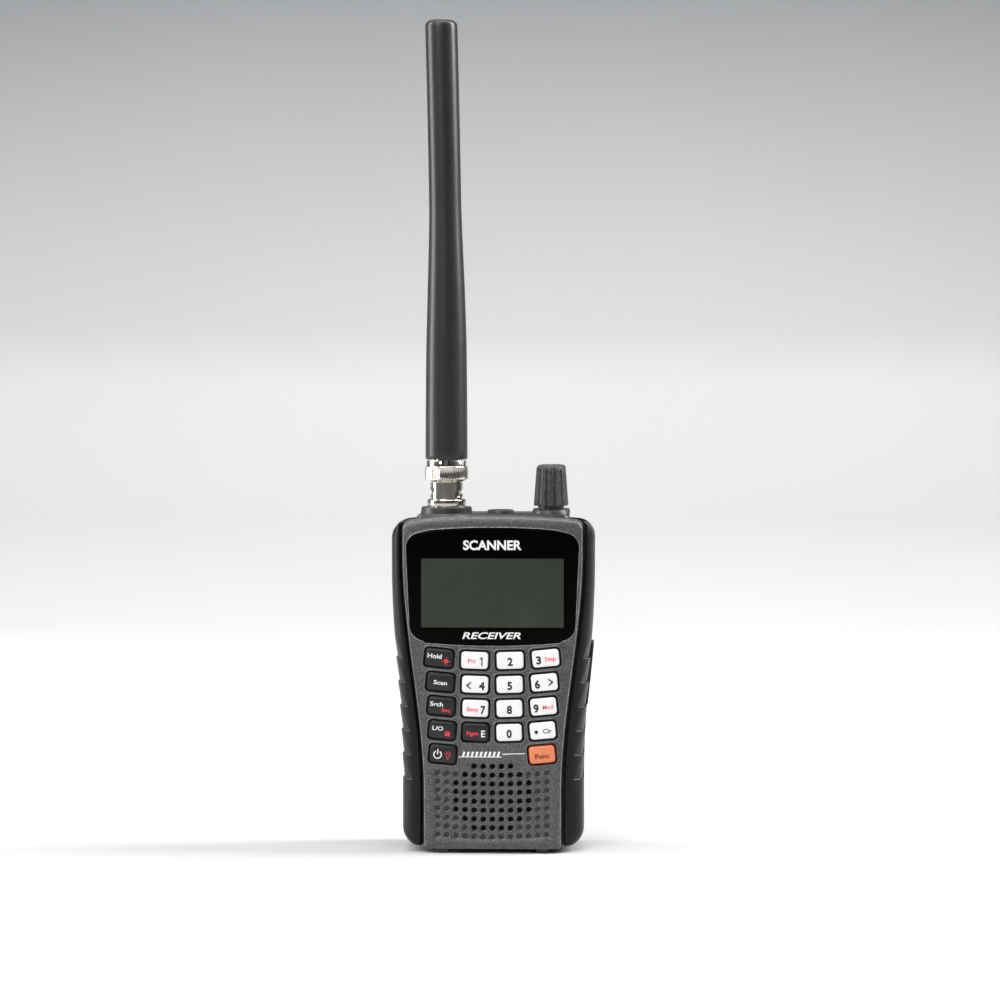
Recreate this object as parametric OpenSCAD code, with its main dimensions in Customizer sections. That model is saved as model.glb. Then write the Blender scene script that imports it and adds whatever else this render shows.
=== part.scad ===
// Handheld scanning receiver with a bayonet whip antenna, built as separate pieces.
// Origin: centre of the base, on the surface it stands on. +Z up, front towards -Y, +X to the right.

/* [Body] */
// Width over the grips at the display
body_w = 68; // [66:0.5:84]
// Width over the grips near the base
low_w = 60.8; // [59:0.2:66]
// Depth over the keys
body_d = 31.5; // [31:0.5:40]
// Height of the flat top above the table
body_h = 113.5; // [113:0.5:140]
// Wall of the cases
wall = 1.8; // [1.5:0.1:2]
// Thickness of the side grips
grip_t = 2.2; // [1.8:0.1:2.6]
// Height of the feet under the cases
foot_h = 1.4; // [1:0.1:2]
// Width of the front panel at the display
panel_w = 60; // [58.5:0.5:61]
// Width of the front panel near the base
panel_low_w = 46; // [45:0.5:48]

/* [Display] */
// Width of the display lens at its top
lens_w = 57.4; // [55:0.2:58]
// Height of the display lens at its centre line
lens_h = 39.4; // [36:0.2:40]
// Thickness of the display lens
lens_t = 1.4; // [1:0.1:1.6]
// Width of the visible display
lcd_w = 47; // [40:0.5:48]
// Height of the visible display
lcd_h = 22.7; // [18:0.1:26]

/* [Keypad] */
// Width of a key in the top row
key_w = 8.9; // [7:0.1:9.6]
// Height of a key
key_h = 5.6; // [4.5:0.1:6]
// Distance between the key columns in the top row
column_pitch = 11.8; // [11.6:0.1:12.4]
// Distance between the key rows
row_pitch = 8; // [7.6:0.1:8.4]
// Gap around a key in its opening
key_gap = 0.65; // [0.3:0.05:0.8]
// Key travel
key_travel = 0.8; // [0.5:0.1:1.2]

/* [Speaker] */
// Distance between the grille holes
hole_pitch = 3; // [2.4:0.05:3.1]
// Diameter of a grille hole
hole_d = 1.9; // [1.4:0.1:2.1]
// Diameter of the loudspeaker
speaker_d = 28; // [24:0.5:30]

/* [Controls] */
// Diameter of a knob at its foot
knob_d = 11.5; // [10:0.1:12.4]
// Height of a knob above its neck
knob_h = 13.5; // [10:0.1:16]
// Distance between the two knob axes
knob_pitch = 13; // [12.8:0.1:14]
// Diameter of a control shaft
shaft_d = 6; // [4:0.1:6]

/* [Antenna] */
// Length of the rubber sleeve
sleeve_len = 147; // [100:1:180]
// Diameter of the sleeve at its foot
sleeve_d = 14.2; // [13.4:0.1:15]
// Diameter of the sleeve near its tip
tip_d = 10.8; // [9.6:0.1:12]
// Turns of the winding in the sleeve
coil_turns = 14; // [8:1:20]

/* [Battery] */
// Diameter of a cell
cell_d = 14.5; // [10.5:0.1:14.6]
// Length of a cell
cell_len = 50.5; // [44.5:0.5:50.5]

/* [Hidden] */
$fn = 48;

gap = 0.1;                 // clearance between pieces that are assembled together
slip = 0.3;                // clearance between pieces that move apart

// Depth stations, from the front to the back
front_y = -body_d / 2 + 0.5;       // face of the front panel
plate_t = 2.2;                     // thickness of the front panel
plate_y = front_y + plate_t;       // back of the front panel
grip_y = front_y + 1.7;            // front edge of the grips
shoulder_y = grip_y + 3.1;         // front of the case's shoulder under the grips
split_y = -2;                      // parting plane of the two cases
grip_back_y = 8;                   // back edge of the grips
back_y = body_d / 2;
board_y = plate_y + 3.3;           // front of the main board
board_t = 1.2;
rf_y = split_y - 1.6;              // front of the radio board
rf_t = 1;

// Outline of the cases
grip_corner_low = 6.5;             // radius of the lower corners
grip_corner_top = 6;               // radius of the upper corners
shoulder_z = body_h - 2.6;         // top of the case at its corners
arch = 1.2;                        // rise of the case's top from the corners to the centre
panel_gap = 0.8;                   // groove between the front panel and the grips
panel_top = body_h - 2.2;          // top of the front panel at its corners
panel_arch = 1.4;                  // rise of the panel's top

// The cases and the panel widen between these two heights
side_z = [0.22 * body_h, 0.84 * body_h];
panel_z = [0.18 * body_h, 0.88 * body_h];

function smooth(t) = let (u = min(1, max(0, t))) u * u * (3 - 2 * u);
function between(z, range) = smooth((z - range[0]) / (range[1] - range[0]));
function side_x(z) = low_w / 2 + (body_w - low_w) / 2 * between(z, side_z);
function panel_x(z) = panel_low_w / 2 + (panel_w - panel_low_w) / 2 * between(z, panel_z);
function steps(a, b, n) = [for (i = [0:n]) a + (b - a) * i / n];
function mirrored(half) = concat(half, [for (i = [len(half) - 1:-1:0]) [-half[i][0], half[i][1]]]);

// Case outline in X and Z: sides moved in by d, top by top, base by low; rise arches the top
function case_half(d, top, low, rise) =
    let (r_low = grip_corner_low - d / 2, r_top = grip_corner_top - d / 2,
        x_low = side_x(foot_h) - d - r_low, x_top = body_w / 2 - d - r_top)
    concat(
        [for (a = steps(-90, 0, 6)) [x_low + r_low * cos(a), foot_h + low + r_low * (1 + sin(a))]],
        [for (z = steps(side_z[0], side_z[1], 12)) [side_x(z) - d, z]],
        [for (a = steps(0, 90, 6)) [x_top + r_top * cos(a), shoulder_z - top - r_top * (1 - sin(a))]],
        [for (x = steps(x_top, 0, 5)) if (x < x_top - 1 && x > 0.5)
            [x, shoulder_z - top + rise * (1 - pow(x / x_top, 2))]]);
function case_outline(d = 0, top = 0, low = 0, rise = arch) = mirrored(case_half(d, top, low, rise));

// Front panel outline in X and Z, its sides moved in by d and its top lowered by t
function panel_half(d, t) = concat(
    [[panel_x(foot_h) - 1.2 - d, foot_h + d], [panel_x(foot_h) - 0.35 - d, foot_h + 0.35 + d]],
    [[panel_x(foot_h) - d, foot_h + 1.2]],
    [for (z = steps(panel_z[0], panel_z[1], 14)) [panel_x(z) - d, z]],
    [for (a = steps(0, 90, 5)) [panel_w / 2 - 2 - d + 2 * cos(a), panel_top - t - 2 + 2 * sin(a)]],
    [for (x = steps(panel_w / 2 - 2, 0, 5)) if (x < panel_w / 2 - 3 && x > 0.5)
        [x, panel_top - t + panel_arch * (1 - pow(2 * x / panel_w, 2))]]);
function panel_outline(d = 0, t = 0) = mirrored(panel_half(d, t));

// Lens outline: bowed top and bottom edges, rounded corners and sides that lean in
function lens_half(d) =
    let (w = lens_w / 2 - d, h = lens_h / 2 - d, bow = 1.7, r = 5 - d, lean = 1.2)
    concat(
        [for (x = steps(0, w - lean - r, 5)) if (x > 0.5) [x, -h + bow * pow(x / w, 2)]],
        [for (a = steps(-80, -5, 6)) [w - lean - r + r * cos(a), -h + bow + r + r * sin(a)]],
        [for (a = steps(0, 80, 6)) [w - r + r * cos(a), h - bow - r + r * sin(a)]],
        [for (x = steps(w - r, 0, 5)) if (x < w - r && x > 0.5) [x, h - bow * pow(x / w, 2)]]);
function lens_outline(d = 0) = mirrored(lens_half(d));

// Extrudes a child drawn in X and Z from depth y0 to y1
module deep(y0, y1) {
    translate([0, y1, 0]) rotate([90, 0, 0]) linear_extrude(y1 - y0) children();
}

// Cylinder along Y from y0 to y1
module round_y(x, z, y0, y1, r) {
    translate([x, y1, z]) rotate([90, 0, 0]) cylinder(r = r, h = y1 - y0);
}

// Cylinder along X from x0 to x1
module round_x(y, z, x0, x1, r) {
    translate([x0, y, z]) rotate([0, 90, 0]) cylinder(r = r, h = x1 - x0);
}

module rod(x, y, z0, z1, r) {
    translate([x, y, z0]) cylinder(r = r, h = z1 - z0);
}

module ring(x, y, z0, z1, r_in, r_out) {
    difference() {
        rod(x, y, z0, z1, r_out);
        rod(x, y, z0 - 1, z1 + 1, r_in);
    }
}

module block(x0, x1, y0, y1, z0, z1) {
    translate([x0, y0, z0]) cube([x1 - x0, y1 - y0, z1 - z0]);
}

module rounded(w, h, r) {
    union() {
        square([w - 2 * r, h], center = true);
        square([w, h - 2 * r], center = true);
        for (x = [-1, 1], z = [-1, 1])
            translate([x * (w / 2 - r), z * (h / 2 - r)]) circle(r = r, $fn = 24);
    }
}

// Solid through outlines at several depths; each entry of sections is [depth, points]
module loft(sections) {
    n = len(sections[0][1]);
    last = len(sections) - 1;
    points = [for (s = sections) for (p = s[1]) [p[0], s[0], p[1]]];
    polyhedron(points, concat(
        [[for (i = [n - 1:-1:0]) i]],
        [for (s = [0:last - 1], i = [0:n - 1]) let (j = (i + 1) % n)
            [s * n + i, s * n + j, (s + 1) * n + j, (s + 1) * n + i]],
        [[for (i = [0:n - 1]) last * n + i]]));
}

// ---- Places on the front ----
lens_z = panel_top + panel_arch - 4 - lens_h / 2;
lcd_z = lens_z - 2.1;
row_radius = 180;                                   // rows of keys and holes are arcs of this radius
row_1_z = lens_z - lens_h / 2 - 4.9;                // first row of keys on the centre line
squeeze = [1, 0.975, 0.96, 0.945, 0.945];           // the columns close in row by row
columns = [-1.5, -0.5, 0.5, 1.5];
speaker_z = foot_h + 17.4;                          // centre of the loudspeaker and its grille
function key_x(row, column) = columns[column] * column_pitch * squeeze[row];
function row_z(x, z) = z + x * x / (2 * row_radius);
function key_z(row, column) = row_z(key_x(row, column), row_1_z - row * row_pitch);
function key_tilt(row, column) = -asin(key_x(row, column) / row_radius);
keys = [for (row = [0:4], column = [0:3]) if (row < 4 || column == 0 || column == 3) [row, column]];

// Places a child, drawn in X and Z about its own centre, on a key
module on_key(row, column) {
    translate([key_x(row, column), key_z(row, column)]) rotate(-key_tilt(row, column)) children();
}

module key_shape(row, extra = 0) {
    rounded(key_w * squeeze[row] + 2 * extra, key_h + 2 * extra, 1.1 + extra / 2);
}

// ---- Places on the top ----
top_wall_z = body_h - 2.6;                          // top of the case's wall under the cover
top_wall_under = top_wall_z - 2;
core_in = grip_t + gap;                             // how far the cases sit inside the grips' surface
antenna_x = -16;
knob_x = 19.2;
knob_ys = [0.8 - knob_pitch / 2 + 0.2, 1 + knob_pitch / 2];
jack_x = 2.3;
collar_z = body_h + 1.5;                            // top of the antenna's collar
knob_collar_z = body_h + 0.7;
cover_x = 25.4;
cover_y = 11.3;
cover_roll = 12;                                    // the front panel's top edge rolls back to this depth
bush_r = 5.5;                                       // bushing of the antenna jack
control_bush_r = shaft_d / 2 + 1;
phone_bush_r = 3.2;
boss_places = [[27, body_h - 7.2], [21.5, foot_h + 7.4]];
boss_r = 2.6;
screw_r = 1;
insert_x = 9;
insert_z = body_h - 25;

// ---- Battery compartment ----
bay_x = cell_d + 0.9;                               // half width of the compartment
bay_z0 = foot_h + 5;
bay_z1 = bay_z0 + cell_len + 5;
door_t = 1.5;
door_y = back_y - door_t;
cell_y = door_y - 0.4 - cell_d / 2;
bay_y = cell_y - cell_d / 2 - 0.3;                  // front wall of the compartment, inside
bay_wall = 1.1;
door_x = bay_x + 2.2;
door_z0 = foot_h + 4.2;                             // hinge of the battery door, at its lower edge
door_hinge_r = door_t / 2;
door_z1 = bay_z1 + 3;
switch_z = bay_z1 - 2.4;
switch_x = 4;

// ---- Side port ----
port_z = row_1_z - row_pitch / 2 - 0.4;
port_w = 7.9;                                       // height of the socket along Z
port_h = 4.1;                                       // width of the socket along Y
port_y = rf_y + rf_t + 0.02 + port_h / 2;
cover_z1 = port_z + 10;                             // top of the port cover
cover_z0 = port_z - 11;                             // hinge of the port cover
cover_half_y = 4.5;
cover_hinge_x = side_x(cover_z0) - 0.4;
cover_hinge_r = 0.7;

// ---- Cases ----
module rolled_panel() {
    loft([[front_y, panel_outline(0.8, 3.3)], [front_y + 0.35, panel_outline(0.35, 2)],
        [front_y + 1.05, panel_outline(0, 1)], [front_y + 2, panel_outline(0, 0.35)],
        [-cover_roll, panel_outline(0, 0)], [shoulder_y + 1.2, panel_outline(0, 0)]]);
}

module top_holes() {
    rod(antenna_x, 0, top_wall_under - 1, body_h, bush_r + gap);
    rod(jack_x, 0, top_wall_under - 1, body_h, phone_bush_r + gap);
    for (y = knob_ys) rod(knob_x, y, top_wall_under - 1, body_h, control_bush_r + gap);
}

module top_recess() {
    block(-cover_x - gap, cover_x + gap, -cover_y - gap, cover_y + gap, top_wall_z, body_h + 5);
}

module port_hole(extra = 0) {
    block(0, body_w, port_y - port_h / 2 - 0.3 - extra, port_y + port_h / 2 + 0.3 + extra,
        port_z - port_w / 2 - 0.4 - extra, port_z + port_w / 2 + 0.4 + extra);
}

module grille_holes() {
    for (row = [0:8], i = [-6:6]) {
        open = (row == 0 || row == 7) ? 2 : (row == 1 || row == 6) ? 3 : row == 8 ? -1 : 4;
        x = i * hole_pitch * 1.01;
        z = row_z(x, speaker_z + (3.5 - row) * hole_pitch * 0.98);
        if (abs(i) <= open) round_y(x, z, front_y - 1, plate_y + 1, hole_d / 2, $fn = 16);
        else if (row > 0) round_y(x, z, front_y - 1, front_y + 0.7, hole_d / 2 - 0.1, $fn = 16);
    }
}

module bosses(y0, y1, r) {
    for (p = boss_places, side = [-1, 1]) round_y(side * p[0], p[1], y0, y1, r);
}

module feet(y0, y1) {
    for (side = [-1, 1]) block(side * 16.5 - 2, side * 16.5 + 2, y0, y1, 0, foot_h + 1.5);
}

// Inside of the two cases, from depth y0 to y1
module case_cavity(y0, y1) {
    deep(y0, y1) polygon(case_outline(core_in + wall, top_wall_z - top_wall_under, wall, 0));
}

module front_case() {
    color("dimgray") difference() {
        union() {
            rolled_panel();
            deep(shoulder_y, split_y) polygon(case_outline(core_in));
            feet(front_y + 1.6, front_y + 5.6);
        }
        difference() {
            union() {
                deep(plate_y, shoulder_y + 2) polygon(panel_outline(wall, 2 * wall));
                case_cavity(shoulder_y + wall, split_y + 1);
            }
            bosses(plate_y - 1, split_y + 1, boss_r);
        }
        bosses(plate_y + 1.5, split_y + 1, screw_r);
        deep(front_y - 1, front_y + lens_t + 0.1) translate([0, lens_z]) polygon(lens_outline(-gap));
        deep(front_y, plate_y + 1) translate([0, lcd_z]) square([lcd_w + 1, lcd_h + 1], center = true);
        for (k = keys) deep(front_y - 1, plate_y + 1) on_key(k[0], k[1]) key_shape(k[0], key_gap);
        grille_holes();
        top_recess();
        top_holes();
        port_hole();
    }
}

module rear_shell() {
    loft([for (s = [[grip_back_y + gap, 0], [back_y - 4.6, 0.5], [back_y - 2.2, 1.9], [back_y - 0.7, 3.9],
        [back_y, 5.6]]) [s[0], case_outline(s[1], s[1] / 2, s[1] / 2)]]);
}

module bay_tub(extra, y1) {
    block(-bay_x - extra, bay_x + extra, bay_y - extra, y1, bay_z0 - extra, bay_z1 + extra);
}

module rear_case() {
    color("dimgray") difference() {
        union() {
            difference() {
                union() {
                    rear_shell();
                    deep(split_y + gap, grip_back_y + 1) polygon(case_outline(core_in));
                }
                case_cavity(split_y, grip_back_y + 1);
                deep(grip_back_y, back_y - wall)
                    polygon(case_outline(6, top_wall_z - top_wall_under, 2 * wall, 0));
            }
            bosses(split_y + gap, back_y - 1, boss_r);
            intersection() {
                bay_tub(bay_wall, back_y);
                deep(bay_y - bay_wall, back_y) polygon(case_outline(2));
            }
            for (side = [-1, 1]) round_y(side * insert_x, insert_z, back_y - 6, back_y - 0.5, 3.2);
            feet(back_y - 7.2, back_y - 3.2);
        }
        bay_tub(0, back_y + 1);
        block(-door_x - slip, door_x + slip, door_y - 0.1, back_y + 1, door_z0, door_z1 + slip);
        round_x(door_y + door_hinge_r, door_z0, -door_x - slip, door_x + slip, door_hinge_r + slip);
        bosses(split_y - 1, back_y + 1, screw_r + 0.2);
        bosses(back_y - 3.2, back_y + 1, 2.3);
        for (side = [-1, 1]) {
            round_y(side * insert_x, insert_z, back_y - 5.2, back_y + 1, 2.1);
            block(side * bay_x / 2 - 2.6, side * bay_x / 2 + 2.6, bay_y, cell_y + 3,
                bay_z0 - bay_wall - 1, bay_z0 + 1);
        }
        block(switch_x - 2.6, switch_x + 2.2, bay_y - 2, bay_y + 1, switch_z - 1.2, switch_z + 1.2);
        top_recess();
        top_holes();
        port_hole();
    }
}

// ---- Grips ----
// Cross-section of a grip at height z: the front corner is a quarter ellipse
function grip_section(z, x_out) =
    let (x_in = panel_x(z) + panel_gap, a = max(0.4, x_out - x_in), b = 7)
    concat([for (t = steps(0, 90, 6)) [x_in + a * sin(t), grip_y + b * (1 - cos(t)), z]],
        [[x_in + a, grip_back_y, z], [x_in, grip_back_y, z]]);
function grip_levels() = let (r_low = grip_corner_low, r_top = grip_corner_top) concat(
    [for (a = steps(-55, 0, 5)) let (z = foot_h + r_low + r_low * sin(a))
        [z, side_x(foot_h + r_low) - r_low + r_low * cos(a)]],
    [for (z = steps(side_z[0], side_z[1], 12)) [z, side_x(z)]],
    [for (a = steps(0, 72, 6)) [shoulder_z - r_top + r_top * sin(a), body_w / 2 - r_top + r_top * cos(a)]]);

module grip_solid() {
    sections = [for (l = grip_levels()) grip_section(l[0], l[1])];
    n = len(sections[0]);
    last = len(sections) - 1;
    polyhedron([for (s = sections) for (p = s) p], concat(
        [[for (i = [0:n - 1]) i]],
        [for (s = [0:last - 1], i = [0:n - 1]) let (j = (i + 1) % n)
            [s * n + i, (s + 1) * n + i, (s + 1) * n + j, s * n + j]],
        [[for (i = [n - 1:-1:0]) last * n + i]]));
}

// Finger ledges: wedge cuts that are deepest just above each ledge
module scoops() {
    for (i = [0:5]) {
        z = row_1_z - 1 - i * (row_pitch + 0.1);
        deep(grip_y + 3, grip_back_y - 2) polygon([[side_x(z) - 0.45, z], [side_x(z) + 1, z - 0.5],
            [side_x(z) + 1, z + 7], [side_x(z + 6.5), z + 6.5]]);
    }
}

module grip() {
    difference() {
        grip_solid();
        deep(shoulder_y - gap, grip_back_y + 1) polygon(case_outline(grip_t));
        scoops();
    }
}

module grip_left() {
    color([0.16, 0.16, 0.17]) mirror([1, 0, 0]) grip();
}

// Port cover outline in X and Z: a lip that stands proud at the top and thins towards the hinge
function cover_outline(d) = [
    [side_x(cover_z0) - 1.1 - d, cover_z0 - d], [side_x(cover_z0) + 0.25 + d, cover_z0 - d],
    [side_x(port_z - 4) + 0.35 + d, port_z - 4], [side_x(cover_z1) + 0.9 + d, cover_z1 - 0.6],
    [side_x(cover_z1) + 0.9 + d, cover_z1 + d], [side_x(cover_z1) - 1.1 - d, cover_z1 + d]];

module grip_right() {
    color([0.16, 0.16, 0.17]) difference() {
        grip();
        deep(port_y - cover_half_y - slip, port_y + cover_half_y + slip) polygon(cover_outline(slip));
        round_y(cover_hinge_x, cover_z0, port_y - cover_half_y - slip, port_y + cover_half_y + slip,
            cover_hinge_r + slip);
        port_hole();
    }
}

module port_cover() {
    color([0.14, 0.14, 0.15]) union() {
        deep(port_y - cover_half_y, port_y + cover_half_y) polygon(cover_outline(0));
        round_y(cover_hinge_x, cover_z0, port_y - cover_half_y, port_y + cover_half_y, cover_hinge_r);
        block(side_x(port_z) - 2.2, side_x(port_z) - 0.9, port_y - 1.6, port_y + 1.6, port_z - 3.2, port_z + 3.2);
    }
}

// ---- Top cover ----
module top_cover() {
    color([0.2, 0.2, 0.21]) difference() {
        union() {
            translate([0, 0, top_wall_z]) linear_extrude(body_h - top_wall_z) rounded(2 * cover_x, 2 * cover_y, 3);
            rod(antenna_x, 0, top_wall_z + 0.5, collar_z, 8.4);
            rod(jack_x, 0, top_wall_z + 0.5, body_h + 0.5, 4.2);
            for (y = knob_ys) rod(knob_x, y, top_wall_z + 0.5, knob_collar_z, knob_d / 2 + 0.3);
        }
        rod(antenna_x, 0, top_wall_z - 1, collar_z + 1, bush_r + gap);
        rod(antenna_x, 0, collar_z - 1.05, collar_z + 1, 6.7);
        rod(jack_x, 0, top_wall_z - 1, body_h + 1, phone_bush_r + gap);
        for (y = knob_ys) rod(knob_x, y, top_wall_z - 1, body_h + 2, control_bush_r + gap);
    }
}

// ---- Display ----
module display_lens() {
    color([0.03, 0.03, 0.03]) translate([0, 0, lens_z]) difference() {
        loft([[front_y - 0.1, lens_outline(0.35)], [front_y + 0.2, lens_outline(gap)],
            [front_y + lens_t, lens_outline(gap)]]);
        block(-lcd_w / 2, lcd_w / 2, front_y + lens_t - 0.2, front_y + 5,
            lcd_z - lens_z - lcd_h / 2, lcd_z - lens_z + lcd_h / 2);
    }
}

module lcd_panel() {
    color([0.24, 0.26, 0.23])
        block(-lcd_w / 2 - 0.7, lcd_w / 2 + 0.7, plate_y + gap, plate_y + 1.7,
            lcd_z - lcd_h / 2 - 4, lcd_z + lcd_h / 2 + 3);
}

module lcd_backlight() {
    z0 = lcd_z - lcd_h / 2 - 4;
    z1 = lcd_z + lcd_h / 2 + 3;
    color("whitesmoke") difference() {
        block(-lcd_w / 2 - 0.7, lcd_w / 2 + 0.7, plate_y + 1.75, board_y - gap / 2, z0, z1);
        block(-lcd_w / 2 + 2, lcd_w / 2 - 2, plate_y + 2.5, board_y + 1, z0 + 3, z1 - 3);
    }
}

// ---- Keypad ----
// A key: top, body through the panel and a flange behind the panel
module key(row, column, tint) {
    back = board_y - 1.5 - key_travel;
    color(tint) union() {
        deep(front_y - 0.5, back) on_key(row, column) key_shape(row);
        deep(plate_y + 0.15, back) intersection() {
            on_key(row, column) key_shape(row, key_gap + 0.25);
            polygon(panel_outline(wall + slip));
        }
    }
}

// Room for the loudspeaker, in X and Z
module speaker_notch() {
    translate([0, speaker_z]) circle(r = speaker_d / 2 + 0.5);
}

module keypad_mat() {
    x = key_x(0, 3) + key_w / 2 + 0.5;
    color([0.3, 0.3, 0.32]) deep(board_y - 1.45, board_y - 0.05) difference() {
        intersection() {
            translate([-x, board_z0 + 0.4]) square([2 * x, row_1_z + 4.2 - board_z0]);
            polygon(panel_outline(wall + slip));
        }
        for (p = board_holes) translate(p) circle(r = board_screw_r + gap);
        speaker_notch();
    }
}

// ---- Loudspeaker ----
module speaker_cloth() {
    color([0.05, 0.05, 0.05]) round_y(0, speaker_z, plate_y + 0.05, plate_y + 0.3, speaker_d / 2 - 1);
}

speaker_y = plate_y + 0.35;
module speaker_frame() {
    color("silver") difference() {
        union() {
            round_y(0, speaker_z, speaker_y, speaker_y + 1.2, speaker_d / 2);
            round_y(0, speaker_z, speaker_y + 1, speaker_y + 2.8, speaker_d / 2 - 3);
            round_y(0, speaker_z, speaker_y + 2.7, speaker_y + 4.9, speaker_d / 4);
        }
        round_y(0, speaker_z, speaker_y - 1, speaker_y + 1.9, speaker_d / 2 - 4);
    }
}

module speaker_cone() {
    r = speaker_d / 2 - 4.1;
    color([0.1, 0.1, 0.1]) translate([0, speaker_y + 0.1, speaker_z]) rotate([-90, 0, 0]) rotate_extrude()
        polygon([[0, 0.6], [2.5, 0.6], [3.2, 1.3], [r - 1.6, 0.2], [r, 0.4], [r, 0.8], [r - 1.5, 0.6],
            [3.4, 1.7], [2.3, 1], [0, 1]]);
}

// ---- Boards ----
board_z0 = row_1_z - 4 * row_pitch - key_h / 2 - 1.6;
board_z1 = top_wall_under - 12.6;
board_x = panel_w / 2 - wall - slip;
board_screw_r = 1.8;
low_hole = [speaker_d / 2 - 5.5, speaker_z + speaker_d / 2 + 1.4];
high_hole_z = board_z1 - 2.2;
high_hole = [panel_x(high_hole_z) - wall - 0.2 - board_screw_r, high_hole_z];
board_holes = [for (side = [-1, 1], p = [low_hole, high_hole]) [side * p[0], p[1]]];

module board_shape() {
    difference() {
        intersection() {
            translate([-board_x, board_z0]) square([2 * board_x, board_z1 - board_z0]);
            polygon(panel_outline(wall + slip));
        }
        for (p = board_holes) translate(p) circle(r = 1.1);
        speaker_notch();
    }
}

module main_board() {
    color("darkgreen") deep(board_y, board_y + board_t) board_shape();
}

module rf_board() {
    color("darkgreen") deep(rf_y, rf_y + rf_t) board_shape();
}

module board_screws() {
    color("silver") for (p = board_holes) {
        round_y(p[0], p[1], board_y - 0.9, board_y - 0.02, board_screw_r);
        round_y(p[0], p[1], board_y - 0.1, min(rf_y + rf_t + 0.8, bay_y - bay_wall - gap), 1);
    }
}

module shield_cans() {
    color("gainsboro") for (p = [[-board_x + 6, board_z1 - 24, 18, 20], [4, board_z1 - 26, 15, 22]])
        difference() {
            block(p[0], p[0] + p[2], board_y + board_t + 0.8, rf_y - 0.02, p[1], p[1] + p[3]);
            block(p[0] + 0.3, p[0] + p[2] - 0.3, board_y + board_t + 1.1, rf_y + 1, p[1] + 0.3, p[1] + p[3] - 0.3);
        }
}

module board_connector() {
    color([0.1, 0.1, 0.1]) block(-low_hole[0] + 2, low_hole[0] - 2, board_y + board_t + 0.02, rf_y - 0.02,
        board_z0 + 7, board_z0 + 10);
}

module board_chips() {
    color([0.08, 0.08, 0.08]) {
        for (p = [[-12, 12, 10, 10], [4, 14, 7, 7], [-14, 26, 6, 5], [14, 9, 5, 8]])
            block(p[0], p[0] + p[2], board_y + board_t + 0.02, board_y + board_t + 0.7,
                board_z0 + p[1], board_z0 + p[1] + p[3]);
    }
}

// ---- Fasteners ----
module case_screws() {
    color("black") for (p = boss_places, side = [-1, 1]) {
        difference() {
            union() {
                round_y(side * p[0], p[1], back_y - 3.15, back_y - 1.4, 2.1);
                round_y(side * p[0], p[1], plate_y + 2, back_y - 3, screw_r - 0.02);
            }
            translate([side * p[0], back_y - 2, p[1]]) for (a = [0, 90]) rotate([0, a, 0])
                cube([2.4, 1.6, 0.6], center = true);
        }
    }
}

module clip_inserts() {
    color("goldenrod") for (side = [-1, 1]) difference() {
        round_y(side * insert_x, insert_z, back_y - 5.1, back_y - 0.6, 2.05);
        round_y(side * insert_x, insert_z, back_y - 4.6, back_y + 1, 1.25);
    }
}

// ---- Antenna jack ----
jack_r = 4.8;
mouth_z = collar_z + 10.5;              // mouth of the jack
stud_z = mouth_z - 4.8;
stud_angles = [35, 215];
ramp_turn = 80;                         // turn of the coupling ring from locked to open
ramp_lift = 1.6;                        // how far the antenna rises over that turn

module bnc_jack() {
    color("silver") difference() {
        union() {
            rod(antenna_x, 0, top_wall_under - 6, collar_z - 0.9, bush_r);
            rod(antenna_x, 0, collar_z - 1, collar_z - 0.1, 6.6);
            rod(antenna_x, 0, collar_z - 0.2, mouth_z, jack_r);
            for (a = stud_angles) translate([antenna_x, 0, stud_z]) rotate([0, 0, a])
                rotate([0, 90, 0]) cylinder(r = 0.95, h = 5.5);
        }
        rod(antenna_x, 0, collar_z - 1, mouth_z + 1, 4.06);
        rod(antenna_x, 0, top_wall_under - 7, collar_z, 3);
    }
}

module bnc_insulator() {
    color("ivory") difference() {
        union() {
            rod(antenna_x, 0, top_wall_under - 8, collar_z - 0.5, 2.98);
            rod(antenna_x, 0, collar_z - 0.98, collar_z + 1.5, 4.04);
            rod(antenna_x, 0, collar_z + 1.4, mouth_z - 1.5, 2.2);
        }
        rod(antenna_x, 0, collar_z, mouth_z, 0.8);
    }
}

module bnc_nut() {
    color("silver") translate([antenna_x, 0, top_wall_under - 2.6]) difference() {
        cylinder(r = 8, h = 2.5, $fn = 6);
        translate([0, 0, -1]) cylinder(r = bush_r + 0.05, h = 5);
    }
}

// ---- Antenna, on the jack's axis ----
ring_z0 = collar_z + 0.2;
rim_z = ring_z0 + 2.5;                  // top of the flared rim
ring_r = 5.5;                           // outside of the drum
knurl_z = ring_z0 + 8.2;
crown_z = ring_z0 + 13.5;
ring_z1 = ring_z0 + 15.3;
seat_z = mouth_z + 0.9;                 // step that carries the plug's flange
sleeve_z = ring_z1 + 0.35;

module at_antenna() {
    translate([antenna_x, 0, 0]) children();
}

// Bayonet slot for one stud: a ramp from the locked place to the entry channel
module bayonet_slot(angle) {
    for (i = [0:10]) rotate([0, 0, angle - ramp_turn * i / 10])
        translate([4, 0, stud_z - ramp_lift * i / 10]) rotate([0, 90, 0]) cylinder(r = 1.15, h = 2, $fn = 24);
    rotate([0, 0, angle - ramp_turn]) translate([4, -1.15, ring_z0 - 1])
        cube([1.75, 2.3, stud_z - ramp_lift - ring_z0 + 1]);
}

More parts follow.
